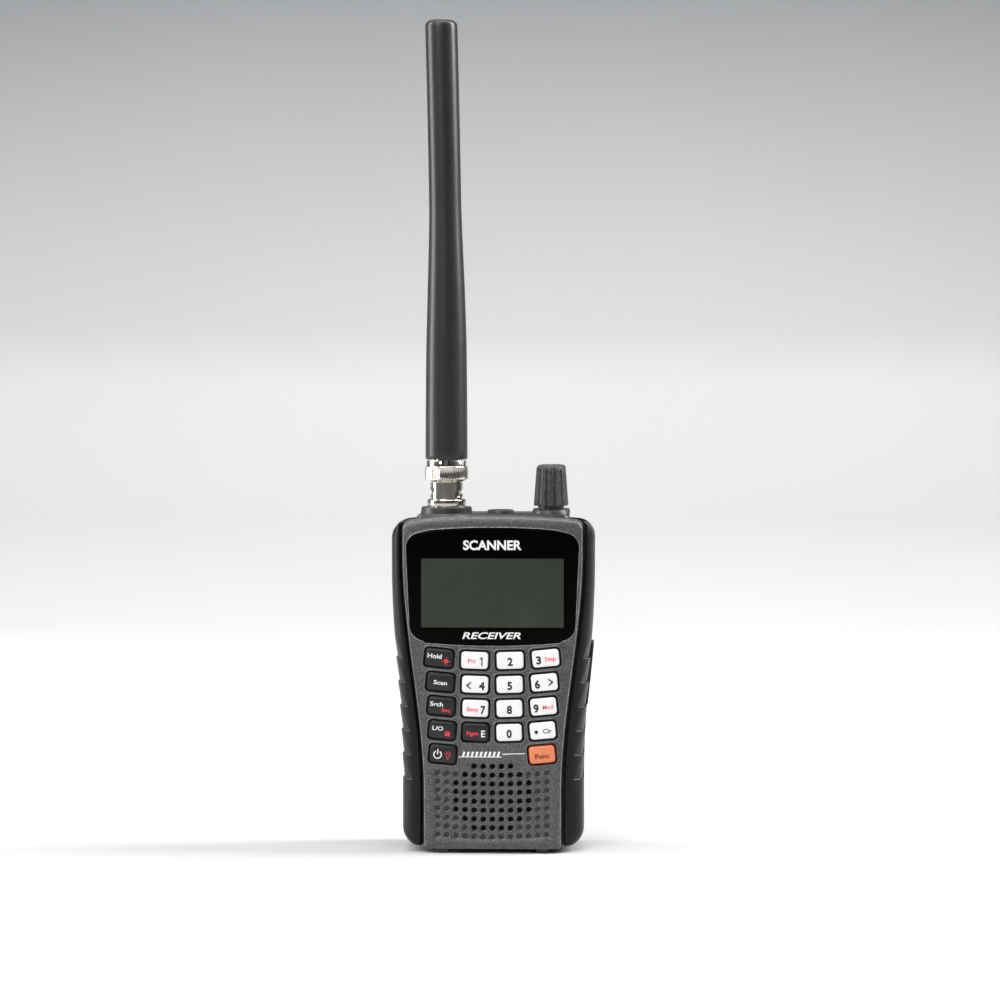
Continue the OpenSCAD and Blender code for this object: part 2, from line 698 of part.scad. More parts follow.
module coupling_ring() {
    color("silver") at_antenna() difference() {
        union() {
            translate([0, 0, ring_z0]) cylinder(r1 = 6.3, r2 = 6.6, h = 0.5);
            translate([0, 0, ring_z0 + 0.5]) cylinder(r = 6.6, h = rim_z - ring_z0 - 0.9);
            translate([0, 0, rim_z - 0.4]) cylinder(r1 = 6.6, r2 = ring_r, h = 0.4);
            translate([0, 0, ring_z0 + 0.2]) cylinder(r = ring_r, h = knurl_z - ring_z0);
            translate([0, 0, knurl_z]) cylinder(r1 = 6.5, r2 = 7.1, h = 0.6);
            translate([0, 0, knurl_z + 0.6]) cylinder(r = 7.1, h = crown_z - knurl_z - 1);
            translate([0, 0, crown_z - 0.4]) cylinder(r1 = 7.1, r2 = 6.75, h = 0.4);
            translate([0, 0, crown_z]) cylinder(r = 6.75, h = ring_z1 - crown_z);
        }
        translate([0, 0, ring_z0 - 1]) cylinder(r = 4.98, h = 20);
        translate([0, 0, seat_z]) cylinder(r = 6.05, h = 10);
        for (a = stud_angles) bayonet_slot(a);
        for (a = [0:60:359]) rotate([0, 0, a - 90]) translate([5.5, -1.2, crown_z + 0.1]) cube([3, 2.4, 3]);
        for (a = [0:12:359]) rotate([0, 0, a]) translate([7.35, 0, knurl_z + 0.3])
            cylinder(r = 0.4, h = crown_z - knurl_z - 0.4, $fn = 4);
    }
}

module antenna_gasket() {
    color("tomato") at_antenna() ring(0, 0, mouth_z + 0.05, seat_z - 0.08, 4.05, 4.85);
}

module antenna_plug() {
    color("silver") at_antenna() union() {
        ring(0, 0, mouth_z - 7, seat_z + 0.5, 3.5, 3.98);
        ring(0, 0, seat_z + 0.02, seat_z + 1.2, 3.2, 5.95);
        rod(0, 0, seat_z + 0.6, sleeve_z + 9, 4.4);
        rod(0, 0, mouth_z - 7.5, seat_z + 1, 0.68);
        ring(0, 0, seat_z - 0.7, seat_z + 1, 0.66, 3.6);
    }
}

// Radius of the sleeve at height h above its foot
function sleeve_r(h) = sleeve_d / 2
    - (sleeve_d - tip_d) / 2 * smooth((h / sleeve_len - 0.19) / 0.38)
    - 0.12 * smooth(h / sleeve_len / 0.2);
sleeve_bore = 3.7;

module antenna_sleeve() {
    tip = 2.2;
    color([0.13, 0.13, 0.14]) translate([antenna_x, 0, sleeve_z]) difference() {
        rotate_extrude() polygon(concat([[0, 0], [sleeve_r(0) - 0.5, 0], [sleeve_r(0), 0.5]],
            [for (h = steps(4, sleeve_len - tip, 24)) [sleeve_r(h), h]],
            [for (a = steps(18, 90, 4)) [sleeve_r(sleeve_len) - tip + tip * cos(a), sleeve_len - tip + tip * sin(a)]],
            [[0, sleeve_len]]));
        translate([0, 0, -1]) cylinder(r = 4.42, h = 10.02);
        translate([0, 0, 5]) cylinder(r = sleeve_bore, h = sleeve_len - 12);
    }
}

// Wire wound round a core, as one tube of square section that follows a helix
module antenna_coil() {
    r = 2.9;
    wire = 0.45;
    length = sleeve_len - 30;
    ring_steps = 8;
    n = coil_turns * ring_steps;
    start = sleeve_z + 14;
    color("peru") at_antenna() union() {
        rod(0, 0, sleeve_z + 9.1, start + length + 3, r - 0.3);
        polyhedron([for (i = [0:n], c = [[1, 1], [-1, 1], [-1, -1], [1, -1]])
                let (a = 360 * i / ring_steps, z = start + length * i / n)
                [(r + c[0] * wire) * cos(a), (r + c[0] * wire) * sin(a), z + c[1] * wire]],
            concat([[3, 2, 1, 0]],
                [for (i = [0:n - 1], k = [0:3]) let (m = (k + 1) % 4)
                    [4 * i + k, 4 * i + m, 4 * i + 4 + m, 4 * i + 4 + k]],
                [[4 * n, 4 * n + 1, 4 * n + 2, 4 * n + 3]]));
    }
}

// ---- Controls ----
knob_z = knob_collar_z + 1.4;           // foot of the knob's skirt
neck_r = knob_d * 0.375;
shaft_top = knob_z + knob_h - 3;
pot_z = top_wall_under - 5.6;

module knob(y) {
    top_r = knob_d * 0.42;
    color([0.15, 0.15, 0.16]) translate([knob_x, y, 0]) difference() {
        union() {
            translate([0, 0, knob_collar_z + 0.1]) cylinder(r = neck_r, h = 2);
            translate([0, 0, knob_z]) cylinder(r1 = knob_d / 2, r2 = top_r, h = knob_h - 0.9);
            translate([0, 0, knob_z + knob_h - 0.9]) cylinder(r1 = top_r, r2 = top_r - 0.7, h = 0.5);
            translate([0, 0, knob_z + knob_h - 0.4]) cylinder(r1 = top_r - 0.7, r2 = top_r - 2.2, h = 0.4);
        }
        translate([0, 0, knob_collar_z - 1]) cylinder(r = shaft_d / 2 + 0.02, h = shaft_top - knob_collar_z + 1.1);
        for (a = [0:30:359]) rotate([0, 0, a]) translate([knob_d / 2 + 0.15, 0, knob_z - 0.1])
            rotate([0, -4.2, 0]) cylinder(r = 0.55, h = knob_h - 1.2, $fn = 16);
    }
}

module control_shaft(y) {
    color("silver") rod(knob_x, y, pot_z + 1.2, shaft_top, shaft_d / 2);
}

module control_pots() {
    color("darkkhaki") for (y = knob_ys) difference() {
        union() {
            block(knob_x - 4.3, knob_x + 4.3, y - 3, y + 4.3, pot_z, top_wall_under - 0.1);
            rod(knob_x, y, pot_z + 3, body_h, control_bush_r);
        }
        rod(knob_x, y, pot_z + 1.1, body_h + 1, shaft_d / 2 + 0.06);
    }
}

// ---- Sockets ----
phone_r = 1.8;
module phone_jack() {
    color([0.1, 0.1, 0.11]) difference() {
        union() {
            block(jack_x - 3.2, jack_x + 3.2, -3.2, 3.2, top_wall_under - 12, top_wall_under - 0.1);
            rod(jack_x, 0, top_wall_under - 2, body_h + 0.2, phone_bush_r);
        }
        rod(jack_x, 0, body_h - 14.8, body_h + 1, phone_r);
    }
}

module usb_jack() {
    x1 = side_x(port_z) - grip_t - 0.1;
    y0 = port_y - port_h / 2;
    color("silver") difference() {
        block(x1 - 8.6, x1, y0, y0 + port_h, port_z - port_w / 2, port_z + port_w / 2);
        block(x1 - 6.6, x1 + 1, y0 + 0.4, y0 + port_h - 0.4, port_z - port_w / 2 + 0.4, port_z + port_w / 2 - 0.4);
    }
}

// ---- Battery ----
cell_z0 = bay_z1 - 0.45 - cell_len;
module cell(side, flip) {
    translate([side * (cell_d / 2 + 0.25), cell_y, cell_z0 + (flip ? cell_len : 0)]) mirror([0, 0, flip ? 1 : 0])
        union() {
            cylinder(r = cell_d / 2, h = cell_len - 1);
            cylinder(r = 2.7, h = cell_len);
        }
}

module battery_cells() {
    color("seagreen") {
        cell(-1, false);
        cell(1, true);
    }
}

module battery_contacts() {
    color("gainsboro") {
        for (side = [-1, 1]) block(side * (cell_d / 2 + 0.25) - 5, side * (cell_d / 2 + 0.25) + 5,
            cell_y - 5, cell_y + 5, bay_z1 - 0.42, bay_z1 - 0.02);
        block(-bay_x + 1, bay_x - 1, cell_y - 5, cell_y + 5, bay_z0 + 0.02, bay_z0 + 0.4);
    }
}

module battery_springs() {
    color("silver") for (side = [-1, 1]) translate([side * (cell_d / 2 + 0.25), cell_y, bay_z0 + 0.45])
        for (i = [0:3]) ring(0, 0, i, i + 1.05, 3.6 - 0.4 * i, 4.6 - 0.4 * i);
}

module battery_door() {
    color([0.17, 0.17, 0.18]) difference() {
        union() {
            block(-door_x, door_x, door_y, back_y, door_z0, door_z1);
            round_x(door_y + door_hinge_r, door_z0, -door_x, door_x, door_hinge_r);
            for (i = [0:4]) block(-7 + i * 0.6, 7 - i * 0.6, back_y - 0.6, back_y - 0.05,
                door_z1 - 5 - i * 1.6, door_z1 - 4.2 - i * 1.6);
        }
        for (i = [0:4]) block(-6 + i * 0.6, 6 - i * 0.6, back_y - 0.5, back_y + 1,
            door_z1 - 4.2 - i * 1.6, door_z1 - 3.4 - i * 1.6);
    }
}

module battery_switch() {
    color("white") union() {
        block(switch_x - 2.2, switch_x - 0.2, bay_y - bay_wall - 0.3, bay_y - 0.2, switch_z - 0.9, switch_z + 0.9);
        block(switch_x - 4.2, switch_x + 1.8, bay_y - bay_wall - 0.45, bay_y - bay_wall - 0.05,
            switch_z - 2, switch_z + 2);
    }
}

// ---- Key colours and nodes ----
dark_key = [0.13, 0.13, 0.14];
pale_key = "whitesmoke";
orange_key = [0.95, 0.55, 0.32];

front_case();
rear_case();
top_cover();
grip_left();
grip_right();
display_lens();
lcd_panel();
lcd_backlight();
keypad_mat();
speaker_frame();
speaker_cone();
speaker_cloth();
main_board();
rf_board();
shield_cans();
board_connector();
board_chips();
board_screws();
case_screws();
clip_inserts();
bnc_jack();
bnc_insulator();
bnc_nut();
control_pots();
phone_jack();
usb_jack();
battery_cells();
battery_contacts();
battery_springs();
battery_door();
battery_switch();
port_cover();
knob(knob_ys[0]);  // volume_knob
control_shaft(knob_ys[0]);  // volume_shaft
knob(knob_ys[1]);  // squelch_knob
control_shaft(knob_ys[1]);  // squelch_shaft
antenna_gasket();
coupling_ring();
antenna_plug();
antenna_coil();
antenna_sleeve();
key(0, 0, dark_key);  // key_hold
key(0, 1, pale_key);  // key_1
key(0, 2, pale_key);  // key_2
key(0, 3, pale_key);  // key_3
key(1, 0, dark_key);  // key_scan
key(1, 1, pale_key);  // key_4
key(1, 2, pale_key);  // key_5
key(1, 3, pale_key);  // key_6
key(2, 0, dark_key);  // key_search
key(2, 1, pale_key);  // key_7
key(2, 2, pale_key);  // key_8
key(2, 3, pale_key);  // key_9
key(3, 0, dark_key);  // key_lockout
key(3, 1, dark_key);  // key_enter
key(3, 2, pale_key);  // key_0
key(3, 3, pale_key);  // key_clear
key(4, 0, dark_key);  // key_power
key(4, 3, orange_key);  // key_function
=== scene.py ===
import math

import bpy
import bmesh
from mathutils import Matrix, Vector
from mathutils.geometry import delaunay_2d_cdt


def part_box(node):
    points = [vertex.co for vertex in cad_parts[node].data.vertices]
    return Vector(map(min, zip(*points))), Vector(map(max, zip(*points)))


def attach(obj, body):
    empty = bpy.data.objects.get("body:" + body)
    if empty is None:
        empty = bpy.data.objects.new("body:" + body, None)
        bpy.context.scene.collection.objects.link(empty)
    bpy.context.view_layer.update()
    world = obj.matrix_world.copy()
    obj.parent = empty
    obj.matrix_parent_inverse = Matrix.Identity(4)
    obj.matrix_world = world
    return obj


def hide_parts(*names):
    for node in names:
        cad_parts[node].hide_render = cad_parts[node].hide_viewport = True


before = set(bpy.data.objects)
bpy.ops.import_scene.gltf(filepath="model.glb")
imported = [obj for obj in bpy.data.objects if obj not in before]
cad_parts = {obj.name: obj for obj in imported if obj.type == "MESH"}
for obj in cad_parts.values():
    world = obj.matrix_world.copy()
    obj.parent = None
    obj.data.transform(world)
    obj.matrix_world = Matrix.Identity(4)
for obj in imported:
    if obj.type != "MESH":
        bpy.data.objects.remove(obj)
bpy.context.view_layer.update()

# Lengths below are in millimetres in the row frame; MM turns them into metres.
MM = 0.001


def cad(node):
    """Lowest and highest corner of a CAD node, in millimetres."""
    low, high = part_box(node)
    return Vector(low) / MM, Vector(high) / MM


# ---- Places read from the CAD nodes ----
CASE_HIGH = cad("rear_case")[1]
PANEL_LOW = cad("front_case")[0]
LENS_LOW, LENS_HIGH = cad("display_lens")
COVER_LOW, COVER_HIGH = cad("top_cover")
GRIP_LOW, GRIP_HIGH = cad("grip_right")
HALF_W = CASE_HIGH.x
FRONT_Y = PANEL_LOW.y
BACK_Y = CASE_HIGH.y
BASE_Z = 1.4                                    # underside of the case above its feet
HEIGHT = COVER_HIGH.z - 1.5                     # flat top of the case, below the collars
LOW_HALF_W = HALF_W - 3.6
SIDE_Z = (0.22 * HEIGHT, 0.84 * HEIGHT)
PANEL_HALF_W = 30.0
PANEL_LOW_HALF_W = 23.0
PANEL_Z = (0.18 * HEIGHT, 0.88 * HEIGHT)
PANEL_TOP = HEIGHT - 2.2
PANEL_ARCH = 1.4
LOW_CORNER, TOP_CORNER = 6.5, 6.0               # corner radii of the case
FOOT_X = 16.5
SHOULDER_Z = HEIGHT - 2.6
GRIP_Y = GRIP_LOW.y
GRIP_BACK_Y = GRIP_HIGH.y
GROOVE = 0.8


def sin(degrees):
    return math.sin(math.radians(degrees))


def cos(degrees):
    return math.cos(math.radians(degrees))


def smooth(t):
    t = min(1.0, max(0.0, t))
    return t * t * (3 - 2 * t)


def side_x(z):
    return LOW_HALF_W + (HALF_W - LOW_HALF_W) * smooth((z - SIDE_Z[0]) / (SIDE_Z[1] - SIDE_Z[0]))


def panel_x(z):
    t = smooth((z - PANEL_Z[0]) / (PANEL_Z[1] - PANEL_Z[0]))
    return PANEL_LOW_HALF_W + (PANEL_HALF_W - PANEL_LOW_HALF_W) * t


def steps(a, b, n):
    return [a + (b - a) * i / n for i in range(n + 1)]


def mirrored(half):
    return half + [(-x, z) for x, z in reversed(half)]


def arc(cx, cz, r, a0, a1, n):
    return [(cx + r * cos(a), cz + r * sin(a)) for a in steps(a0, a1, n)]


# ---- Outlines in X and Z ----
def case_outline(d=0.0, top=0.0, low=0.0, rise=1.2):
    r_low, r_top = LOW_CORNER - d / 2, TOP_CORNER - d / 2
    x_low, x_top = side_x(BASE_Z) - d - r_low, HALF_W - d - r_top
    half = arc(x_low, BASE_Z + low + r_low, r_low, -90, 0, 12)
    half += [(side_x(z) - d, z) for z in steps(SIDE_Z[0], SIDE_Z[1], 24)]
    half += arc(x_top, SHOULDER_Z - top - r_top, r_top, 0, 90, 12)
    half += [(x, SHOULDER_Z - top + rise * (1 - (x / x_top) ** 2)) for x in steps(x_top, 0, 10)[1:-1]]
    return mirrored(half)


def panel_outline(d=0.0, t=0.0):
    r = 3.0
    base = BASE_Z + 0.35 * d
    half = [(panel_x(BASE_Z) - 1.1 - d, base), (panel_x(BASE_Z) - 0.3 - d, base + 0.3)]
    half += [(panel_x(BASE_Z) - d, base + 1.1)]
    half += [(panel_x(z) - d, z) for z in steps(PANEL_Z[0], PANEL_Z[1], 26)]
    half += arc(PANEL_HALF_W - r - d, PANEL_TOP - t - r, r, 0, 84, 8)
    x0 = PANEL_HALF_W - r - 0.8
    half += [(x, PANEL_TOP - t + PANEL_ARCH * (1 - (x / PANEL_HALF_W) ** 2))
             for x in steps(x0 - 2, 0, 12)[:-1]]
    return mirrored(half)


def lens_outline(d=0.0):
    w, h = (LENS_HIGH.x + 0.1) - d, (LENS_HIGH.z - LENS_LOW.z) / 2 + 0.05 - d
    bow, r, lean, cz = 1.7, 5.0 - d, 1.2, (LENS_HIGH.z + LENS_LOW.z) / 2
    half = [(x, cz - h + bow * (x / w) ** 2) for x in steps(0, w - lean - r, 8)[1:]]
    half += arc(w - lean - r, cz - h + bow + r, r, -80, -5, 12)
    half += arc(w - r, cz + h - bow - r, r, 0, 80, 12)
    half += [(x, cz + h - bow * (x / w) ** 2) for x in steps(w - r, 0, 8)[1:-1]]
    return mirrored(half)


def round_rect(w, h, r, n=6):
    """Rounded rectangle about the origin, starting at its lower right corner."""
    out = []
    for sx, sz, a in ((1, -1, -90), (1, 1, 0), (-1, 1, 90), (-1, -1, 180)):
        out += arc(sx * (w / 2 - r), sz * (h / 2 - r), r, a, a + 90, n)
    return out


def circle(x, z, r, n=20):
    turns = [2 * math.pi * i / n for i in range(n)]
    return [(x + r * math.cos(a), z + r * math.sin(a)) for a in turns]


def inside(p, loop):
    hit = False
    for i, a in enumerate(loop):
        b = loop[i - 1]
        if (a[1] > p[1]) != (b[1] > p[1]):
            hit ^= p[0] < (b[0] - a[0]) * (p[1] - a[1]) / (b[1] - a[1]) + a[0]
    return hit


class Shape:
    """Collects the vertices and faces of one piece, in millimetres."""

    def __init__(self):
        self.points, self.faces, self.slots = [], [], []

    def ring(self, points):
        start = len(self.points)
        self.points += [tuple(p) for p in points]
        return list(range(start, len(self.points)))

    def flat(self, outline, y):
        return self.ring([(x, y, z) for x, z in outline])

    def face(self, indices, slot=0):
        self.faces.append(tuple(indices))
        self.slots.append(slot)

    def bridge(self, a, b, slot=0, closed=True):
        n = len(a)
        for i in range(n if closed else n - 1):
            j = (i + 1) % n
            self.face((a[i], a[j], b[j], b[i]), slot)

    def stack(self, rings, slot=0, closed=True):
        for a, b in zip(rings, rings[1:]):
            self.bridge(a, b, slot, closed)

    def fill(self, outer, holes=(), slot=0):
        """Fills a loop that lies in a plane of constant depth, round its holes."""
        loops = [outer] + list(holes)
        flat = [[(self.points[i][0], self.points[i][2]) for i in loop] for loop in loops]
        ids = [i for loop in loops for i in loop]
        edges, start = [], 0
        for loop in loops:
            edges += [(start + k, start + (k + 1) % len(loop)) for k in range(len(loop))]
            start += len(loop)
        coords = [Vector(p) for loop in flat for p in loop]
        verts, _, faces, origin, _, _ = delaunay_2d_cdt(coords, edges, [], 0, 1e-7)
        crossings = [tuple(round(c, 2) for c in verts[i]) for i, o in enumerate(origin) if not o]
        if crossings:
            raise ValueError("loops cross at %s" % crossings[:6])
        for f in faces:
            centre = sum((verts[i] for i in f), Vector((0, 0))) / len(f)
            if inside(centre, flat[0]) and not any(inside(centre, hole) for hole in flat[1:]):
                self.face([ids[origin[i][0]] for i in f], slot)

    def mesh(self, name):
        made = bpy.data.meshes.new(name)
        made.from_pydata([Vector(p) * MM for p in self.points], [], self.faces)
        return made

    def build(self, name, body, slot, materials, replaces=(), sharp=35, bevel=0.0):
        mesh = self.mesh(name)
        for m in materials if isinstance(materials, (list, tuple)) else [materials]:
            mesh.materials.append(m)
        for poly, index in zip(mesh.polygons, self.slots):
            poly.material_index = index
        return finish_mesh(name, mesh, body, slot, replaces, sharp, bevel)


def mark_sharp(work, sharp):
    """Smooth faces, with the edges that turn by more than sharp degrees kept sharp."""
    for f in work.faces:
        f.smooth = True
    for e in work.edges:
        if len(e.link_faces) == 2:
            e.smooth = e.calc_face_angle(0) < math.radians(sharp)


def finish_mesh(name, mesh, body, slot, replaces=(), sharp=35, bevel=0.0):
    work = bmesh.new()
    work.from_mesh(mesh)
    bmesh.ops.remove_doubles(work, verts=work.verts, dist=1e-7)
    bmesh.ops.recalc_face_normals(work, faces=work.faces)
    mark_sharp(work, sharp)
    work.to_mesh(mesh)
    work.free()
    obj = bpy.data.objects.new(name, mesh)
    bpy.context.scene.collection.objects.link(obj)
    if bevel:
        add_bevel(obj, bevel)
    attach(obj, body)
    if replaces:
        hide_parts(*replaces)
    return obj


def cut(obj, cutter, sharp=40, crossing=False):
    """Takes a Shape or a mesh away from a closed piece; crossing says that the cutter's own parts overlap."""
    if isinstance(cutter, Shape):
        mesh = cutter.mesh("cutter")
        work = bmesh.new()
        work.from_mesh(mesh)
        bmesh.ops.recalc_face_normals(work, faces=work.faces)
        work.to_mesh(mesh)
        work.free()
        cutter = mesh
    tool = bpy.data.objects.new("cutter", cutter)
    bpy.context.scene.collection.objects.link(tool)
    mod = obj.modifiers.new("cut", "BOOLEAN")
    mod.operation, mod.solver, mod.object, mod.use_self = "DIFFERENCE", "EXACT", tool, crossing
    graph = bpy.context.evaluated_depsgraph_get()
    done = bpy.data.meshes.new_from_object(obj.evaluated_get(graph))
    obj.modifiers.clear()
    bpy.data.objects.remove(tool)
    work = bmesh.new()
    work.from_mesh(done)
    mark_sharp(work, sharp)
    work.to_mesh(done)
    work.free()
    old, obj.data = obj.data, done
    bpy.data.meshes.remove(old)


def add_bevel(obj, width, segments=2, angle=35):
    mod = obj.modifiers.new("edge", "BEVEL")
    mod.width = width * MM
    mod.segments = segments
    mod.limit_method = "ANGLE"
    mod.angle_limit = math.radians(angle)
    mod.harden_normals = False
    return mod


# ---- Materials ----
def shader(name):
    mat = bpy.data.materials.new(name)
    mat.use_nodes = True
    tree = mat.node_tree
    return mat, tree, tree.nodes["Principled BSDF"]


def node(tree, kind, **values):
    made = tree.nodes.new(kind)
    for key, value in values.items():
        setattr(made, key, value)
    return made


def texture(tree, kind, scale, detail=2.0, dims="3D"):
    """A texture over the object's own metres, so that scale counts features per metre."""
    where = node(tree, "ShaderNodeTexCoord")
    tex = node(tree, kind)
    tex.inputs["Scale"].default_value = scale
    if "Detail" in tex.inputs:
        tex.inputs["Detail"].default_value = detail
    tree.links.new(where.outputs["Object"], tex.inputs["Vector"])
    return tex


def ramp(tree, source, low, high, at=(0.35, 0.65)):
    made = node(tree, "ShaderNodeValToRGB")
    made.color_ramp.elements[0].position, made.color_ramp.elements[1].position = at
    made.color_ramp.elements[0].color = (*low, 1)
    made.color_ramp.elements[1].color = (*high, 1)
    tree.links.new(source, made.inputs["Fac"])
    return made


def bump(tree, bsdf, source, strength, distance):
    made = node(tree, "ShaderNodeBump")
    made.inputs["Strength"].default_value = strength
    made.inputs["Distance"].default_value = distance * MM
    tree.links.new(source, made.inputs["Height"])
    tree.links.new(made.outputs["Normal"], bsdf.inputs["Normal"])
    return made


def plain(name, low, high, rough, scale=900, grain=0.0, grain_scale=4000, metallic=0.0, coat=0.0, spec=0.5):
    """A surface whose colour wanders between low and high, with an optional fine grain."""
    mat, tree, bsdf = shader(name)
    cloud = texture(tree, "ShaderNodeTexNoise", scale, 3)
    colour = ramp(tree, cloud.outputs["Fac"], low, high)
    tree.links.new(colour.outputs["Color"], bsdf.inputs["Base Color"])
    bsdf.inputs["Roughness"].default_value = rough
    bsdf.inputs["Metallic"].default_value = metallic
    bsdf.inputs["Coat Weight"].default_value = coat
    bsdf.inputs["Coat Roughness"].default_value = 0.04
    bsdf.inputs["Specular IOR Level"].default_value = spec
    if grain:
        fine = texture(tree, "ShaderNodeTexNoise", grain_scale, 2)
        bump(tree, bsdf, fine.outputs["Fac"], 0.6, grain)
    return mat


def sparkle(name, dark, pale, glint, rough, metallic, grain, spec=0.5):
    """Metallic paint over a fine texture: a dark coat with scattered bright flakes."""
    mat, tree, bsdf = shader(name)
    cloud = texture(tree, "ShaderNodeTexNoise", 4200, 2)
    base = ramp(tree, cloud.outputs["Fac"], dark, pale, (0.3, 0.7))
    flakes = texture(tree, "ShaderNodeTexVoronoi", 6000)
    pick = node(tree, "ShaderNodeSeparateColor")
    tree.links.new(flakes.outputs["Color"], pick.inputs["Color"])
    mask = ramp(tree, pick.outputs["Red"], (0, 0, 0), (1, 1, 1), (0.86, 0.97))
    mix = node(tree, "ShaderNodeMix", data_type="RGBA")
    mix.inputs[7].default_value = (*glint, 1)
    tree.links.new(mask.outputs["Color"], mix.inputs[0])
    tree.links.new(base.outputs["Color"], mix.inputs[6])
    tree.links.new(mix.outputs[2], bsdf.inputs["Base Color"])
    bsdf.inputs["Roughness"].default_value = rough
    bsdf.inputs["Metallic"].default_value = metallic
    bsdf.inputs["Specular IOR Level"].default_value = spec
    fine = texture(tree, "ShaderNodeTexNoise", 5200, 2)
    bump(tree, bsdf, fine.outputs["Fac"], 0.7, grain)
    return mat


def grey(v, tint=(1, 1, 1)):
    return tuple(v * t for t in tint)


STEEL_GREY = (0.98, 1.02, 1.06)
PANEL = sparkle("panel_paint", grey(0.033, STEEL_GREY), grey(0.039, STEEL_GREY), grey(0.14, STEEL_GREY),
                0.38, 0.35, 0.006)
CASE = sparkle("case_plastic", grey(0.009), grey(0.015), grey(0.05), 0.4, 0.1, 0.012)
GRIP = plain("grip_plastic", grey(0.004), grey(0.006), 0.36, grain=0.01, grain_scale=2600, spec=0.22)
# Painted highlight along the upward-facing finger ledges of the grips.
LEDGE_HIGHLIGHT = plain("ledge_painted_highlight", grey(0.07), grey(0.2), 0.4, scale=1200)
LENS = plain("lens_gloss", grey(0.001), grey(0.0016), 0.04, coat=0.0, spec=0.03)
DISPLAY = plain("display_film", (0.028, 0.036, 0.026), (0.038, 0.046, 0.034), 0.3, scale=45, spec=0.15)
# Worn edges that are also painted lighter as a highlight: the panel's edge line and the lens recess rim.
WEAR_AND_HIGHLIGHT = plain("worn_edge_and_painted_highlight", grey(0.1), grey(0.75), 0.4, scale=2600, metallic=0.3)
# Lips round the key openings, painted lighter as wear and a painted highlight.
LIP_WEAR_AND_HIGHLIGHT = plain("key_lip_wear_and_highlight", grey(0.045), grey(0.22), 0.4, scale=2600, metallic=0.3)
RUBBER = plain("antenna_rubber", grey(0.012), grey(0.016), 0.36, grain=0.006, grain_scale=1500, spec=0.45)
KNOB = sparkle("knob_plastic", grey(0.004), grey(0.009), grey(0.1), 0.34, 0.05, 0.01, spec=0.3)
NICKEL = plain("nickel", (0.66, 0.62, 0.56), (0.74, 0.7, 0.63), 0.12, scale=300, metallic=1.0)
STEEL = plain("steel", grey(0.55), grey(0.62), 0.3, metallic=1.0)
BRASS = plain("brass", (0.62, 0.42, 0.18), (0.7, 0.5, 0.22), 0.3, metallic=1.0)
COPPER = plain("copper", (0.6, 0.28, 0.15), (0.7, 0.34, 0.18), 0.3, metallic=1.0)
KEY_WHITE = plain("key_white", grey(0.84, (1, 1, 0.985)), grey(0.88, (1, 1, 0.985)), 0.42)
KEY_BLACK = plain("key_black", grey(0.005), grey(0.008), 0.38, grain=0.01, grain_scale=2500)
KEY_ORANGE = plain("key_orange", (0.72, 0.21, 0.085), (0.78, 0.25, 0.105), 0.4)
# The Func key's orange silicone skirt, painted dark red as shade in the gap.
KEY_SKIRT_SHADED_ORANGE = plain("key_skirt_painted_shade", (0.25, 0.012, 0.005), (0.34, 0.018, 0.007), 0.4)
INK_WHITE = plain("ink_white", grey(0.8), grey(0.88), 0.5)
INK_BLACK = plain("ink_black", grey(0.012), grey(0.018), 0.5)
INK_RED = plain("ink_red", (0.75, 0.03, 0.05), (0.82, 0.045, 0.065), 0.5)
INK_PINK = plain("ink_pink", (0.8, 0.045, 0.08), (0.84, 0.06, 0.1), 0.5)
INK_BROWN = plain("ink_brown", (0.2, 0.015, 0.006), (0.26, 0.02, 0.009), 0.5)
BLACK = plain("black_plastic", grey(0.006), grey(0.01), 0.7)
BOARD = plain("board_laminate", (0.012, 0.07, 0.03), (0.018, 0.1, 0.04), 0.45)
WHITE = plain("white_plastic", grey(0.72), grey(0.8), 0.5)
SILICONE = plain("grey_silicone", grey(0.1), grey(0.13), 0.6)
RED_RUBBER = plain("red_silicone", (0.35, 0.03, 0.02), (0.45, 0.05, 0.03), 0.6)
CELL = plain("cell_wrap", (0.02, 0.16, 0.07), (0.03, 0.2, 0.09), 0.3, coat=0.4)


def backdrop():
    """Pale sweep: white on the floor, darker at its front, and greyer and slightly blue up the wall, the grey
    being painted shade; with a faint mottle.
    """
    mat, tree, bsdf = shader("backdrop")
    place = node(tree, "ShaderNodeNewGeometry")
    axes = node(tree, "ShaderNodeSeparateXYZ")
    tree.links.new(place.outputs["Position"], axes.inputs[0])
    along = node(tree, "ShaderNodeMath", operation="ADD")
    tree.links.new(axes.outputs["Y"], along.inputs[0])
    tree.links.new(axes.outputs["Z"], along.inputs[1])
    rise = node(tree, "ShaderNodeMapRange")
    rise.inputs["From Min"].default_value, rise.inputs["From Max"].default_value = 0.1, 2.1
    tree.links.new(along.outputs["Value"], rise.inputs["Value"])
    # Painted shade: the ramp greys the upper wall; it also darkens the front of the floor.
    shade = ramp(tree, rise.outputs["Result"], grey(0.5), grey(0.3, (0.97, 1.0, 1.03)), (0.0, 1.0))
    for at, value in ((0.4, 0.7), (0.74, 0.69)):
        shade.color_ramp.elements.new(at).color = (*grey(value), 1)
    cloud = texture(tree, "ShaderNodeTexNoise", 3, 2)
    mottle = ramp(tree, cloud.outputs["Fac"], grey(0.97), grey(1.0))
    mix = node(tree, "ShaderNodeMix", data_type="RGBA", blend_type="MULTIPLY")
    mix.inputs[0].default_value = 1.0
    tree.links.new(shade.outputs["Color"], mix.inputs[6])
    tree.links.new(mottle.outputs["Color"], mix.inputs[7])
    tree.links.new(mix.outputs[2], bsdf.inputs["Base Color"])
    bsdf.inputs["Roughness"].default_value = 0.8
    bsdf.inputs["Specular IOR Level"].default_value = 0.1
    return mat


FLOOR = backdrop()


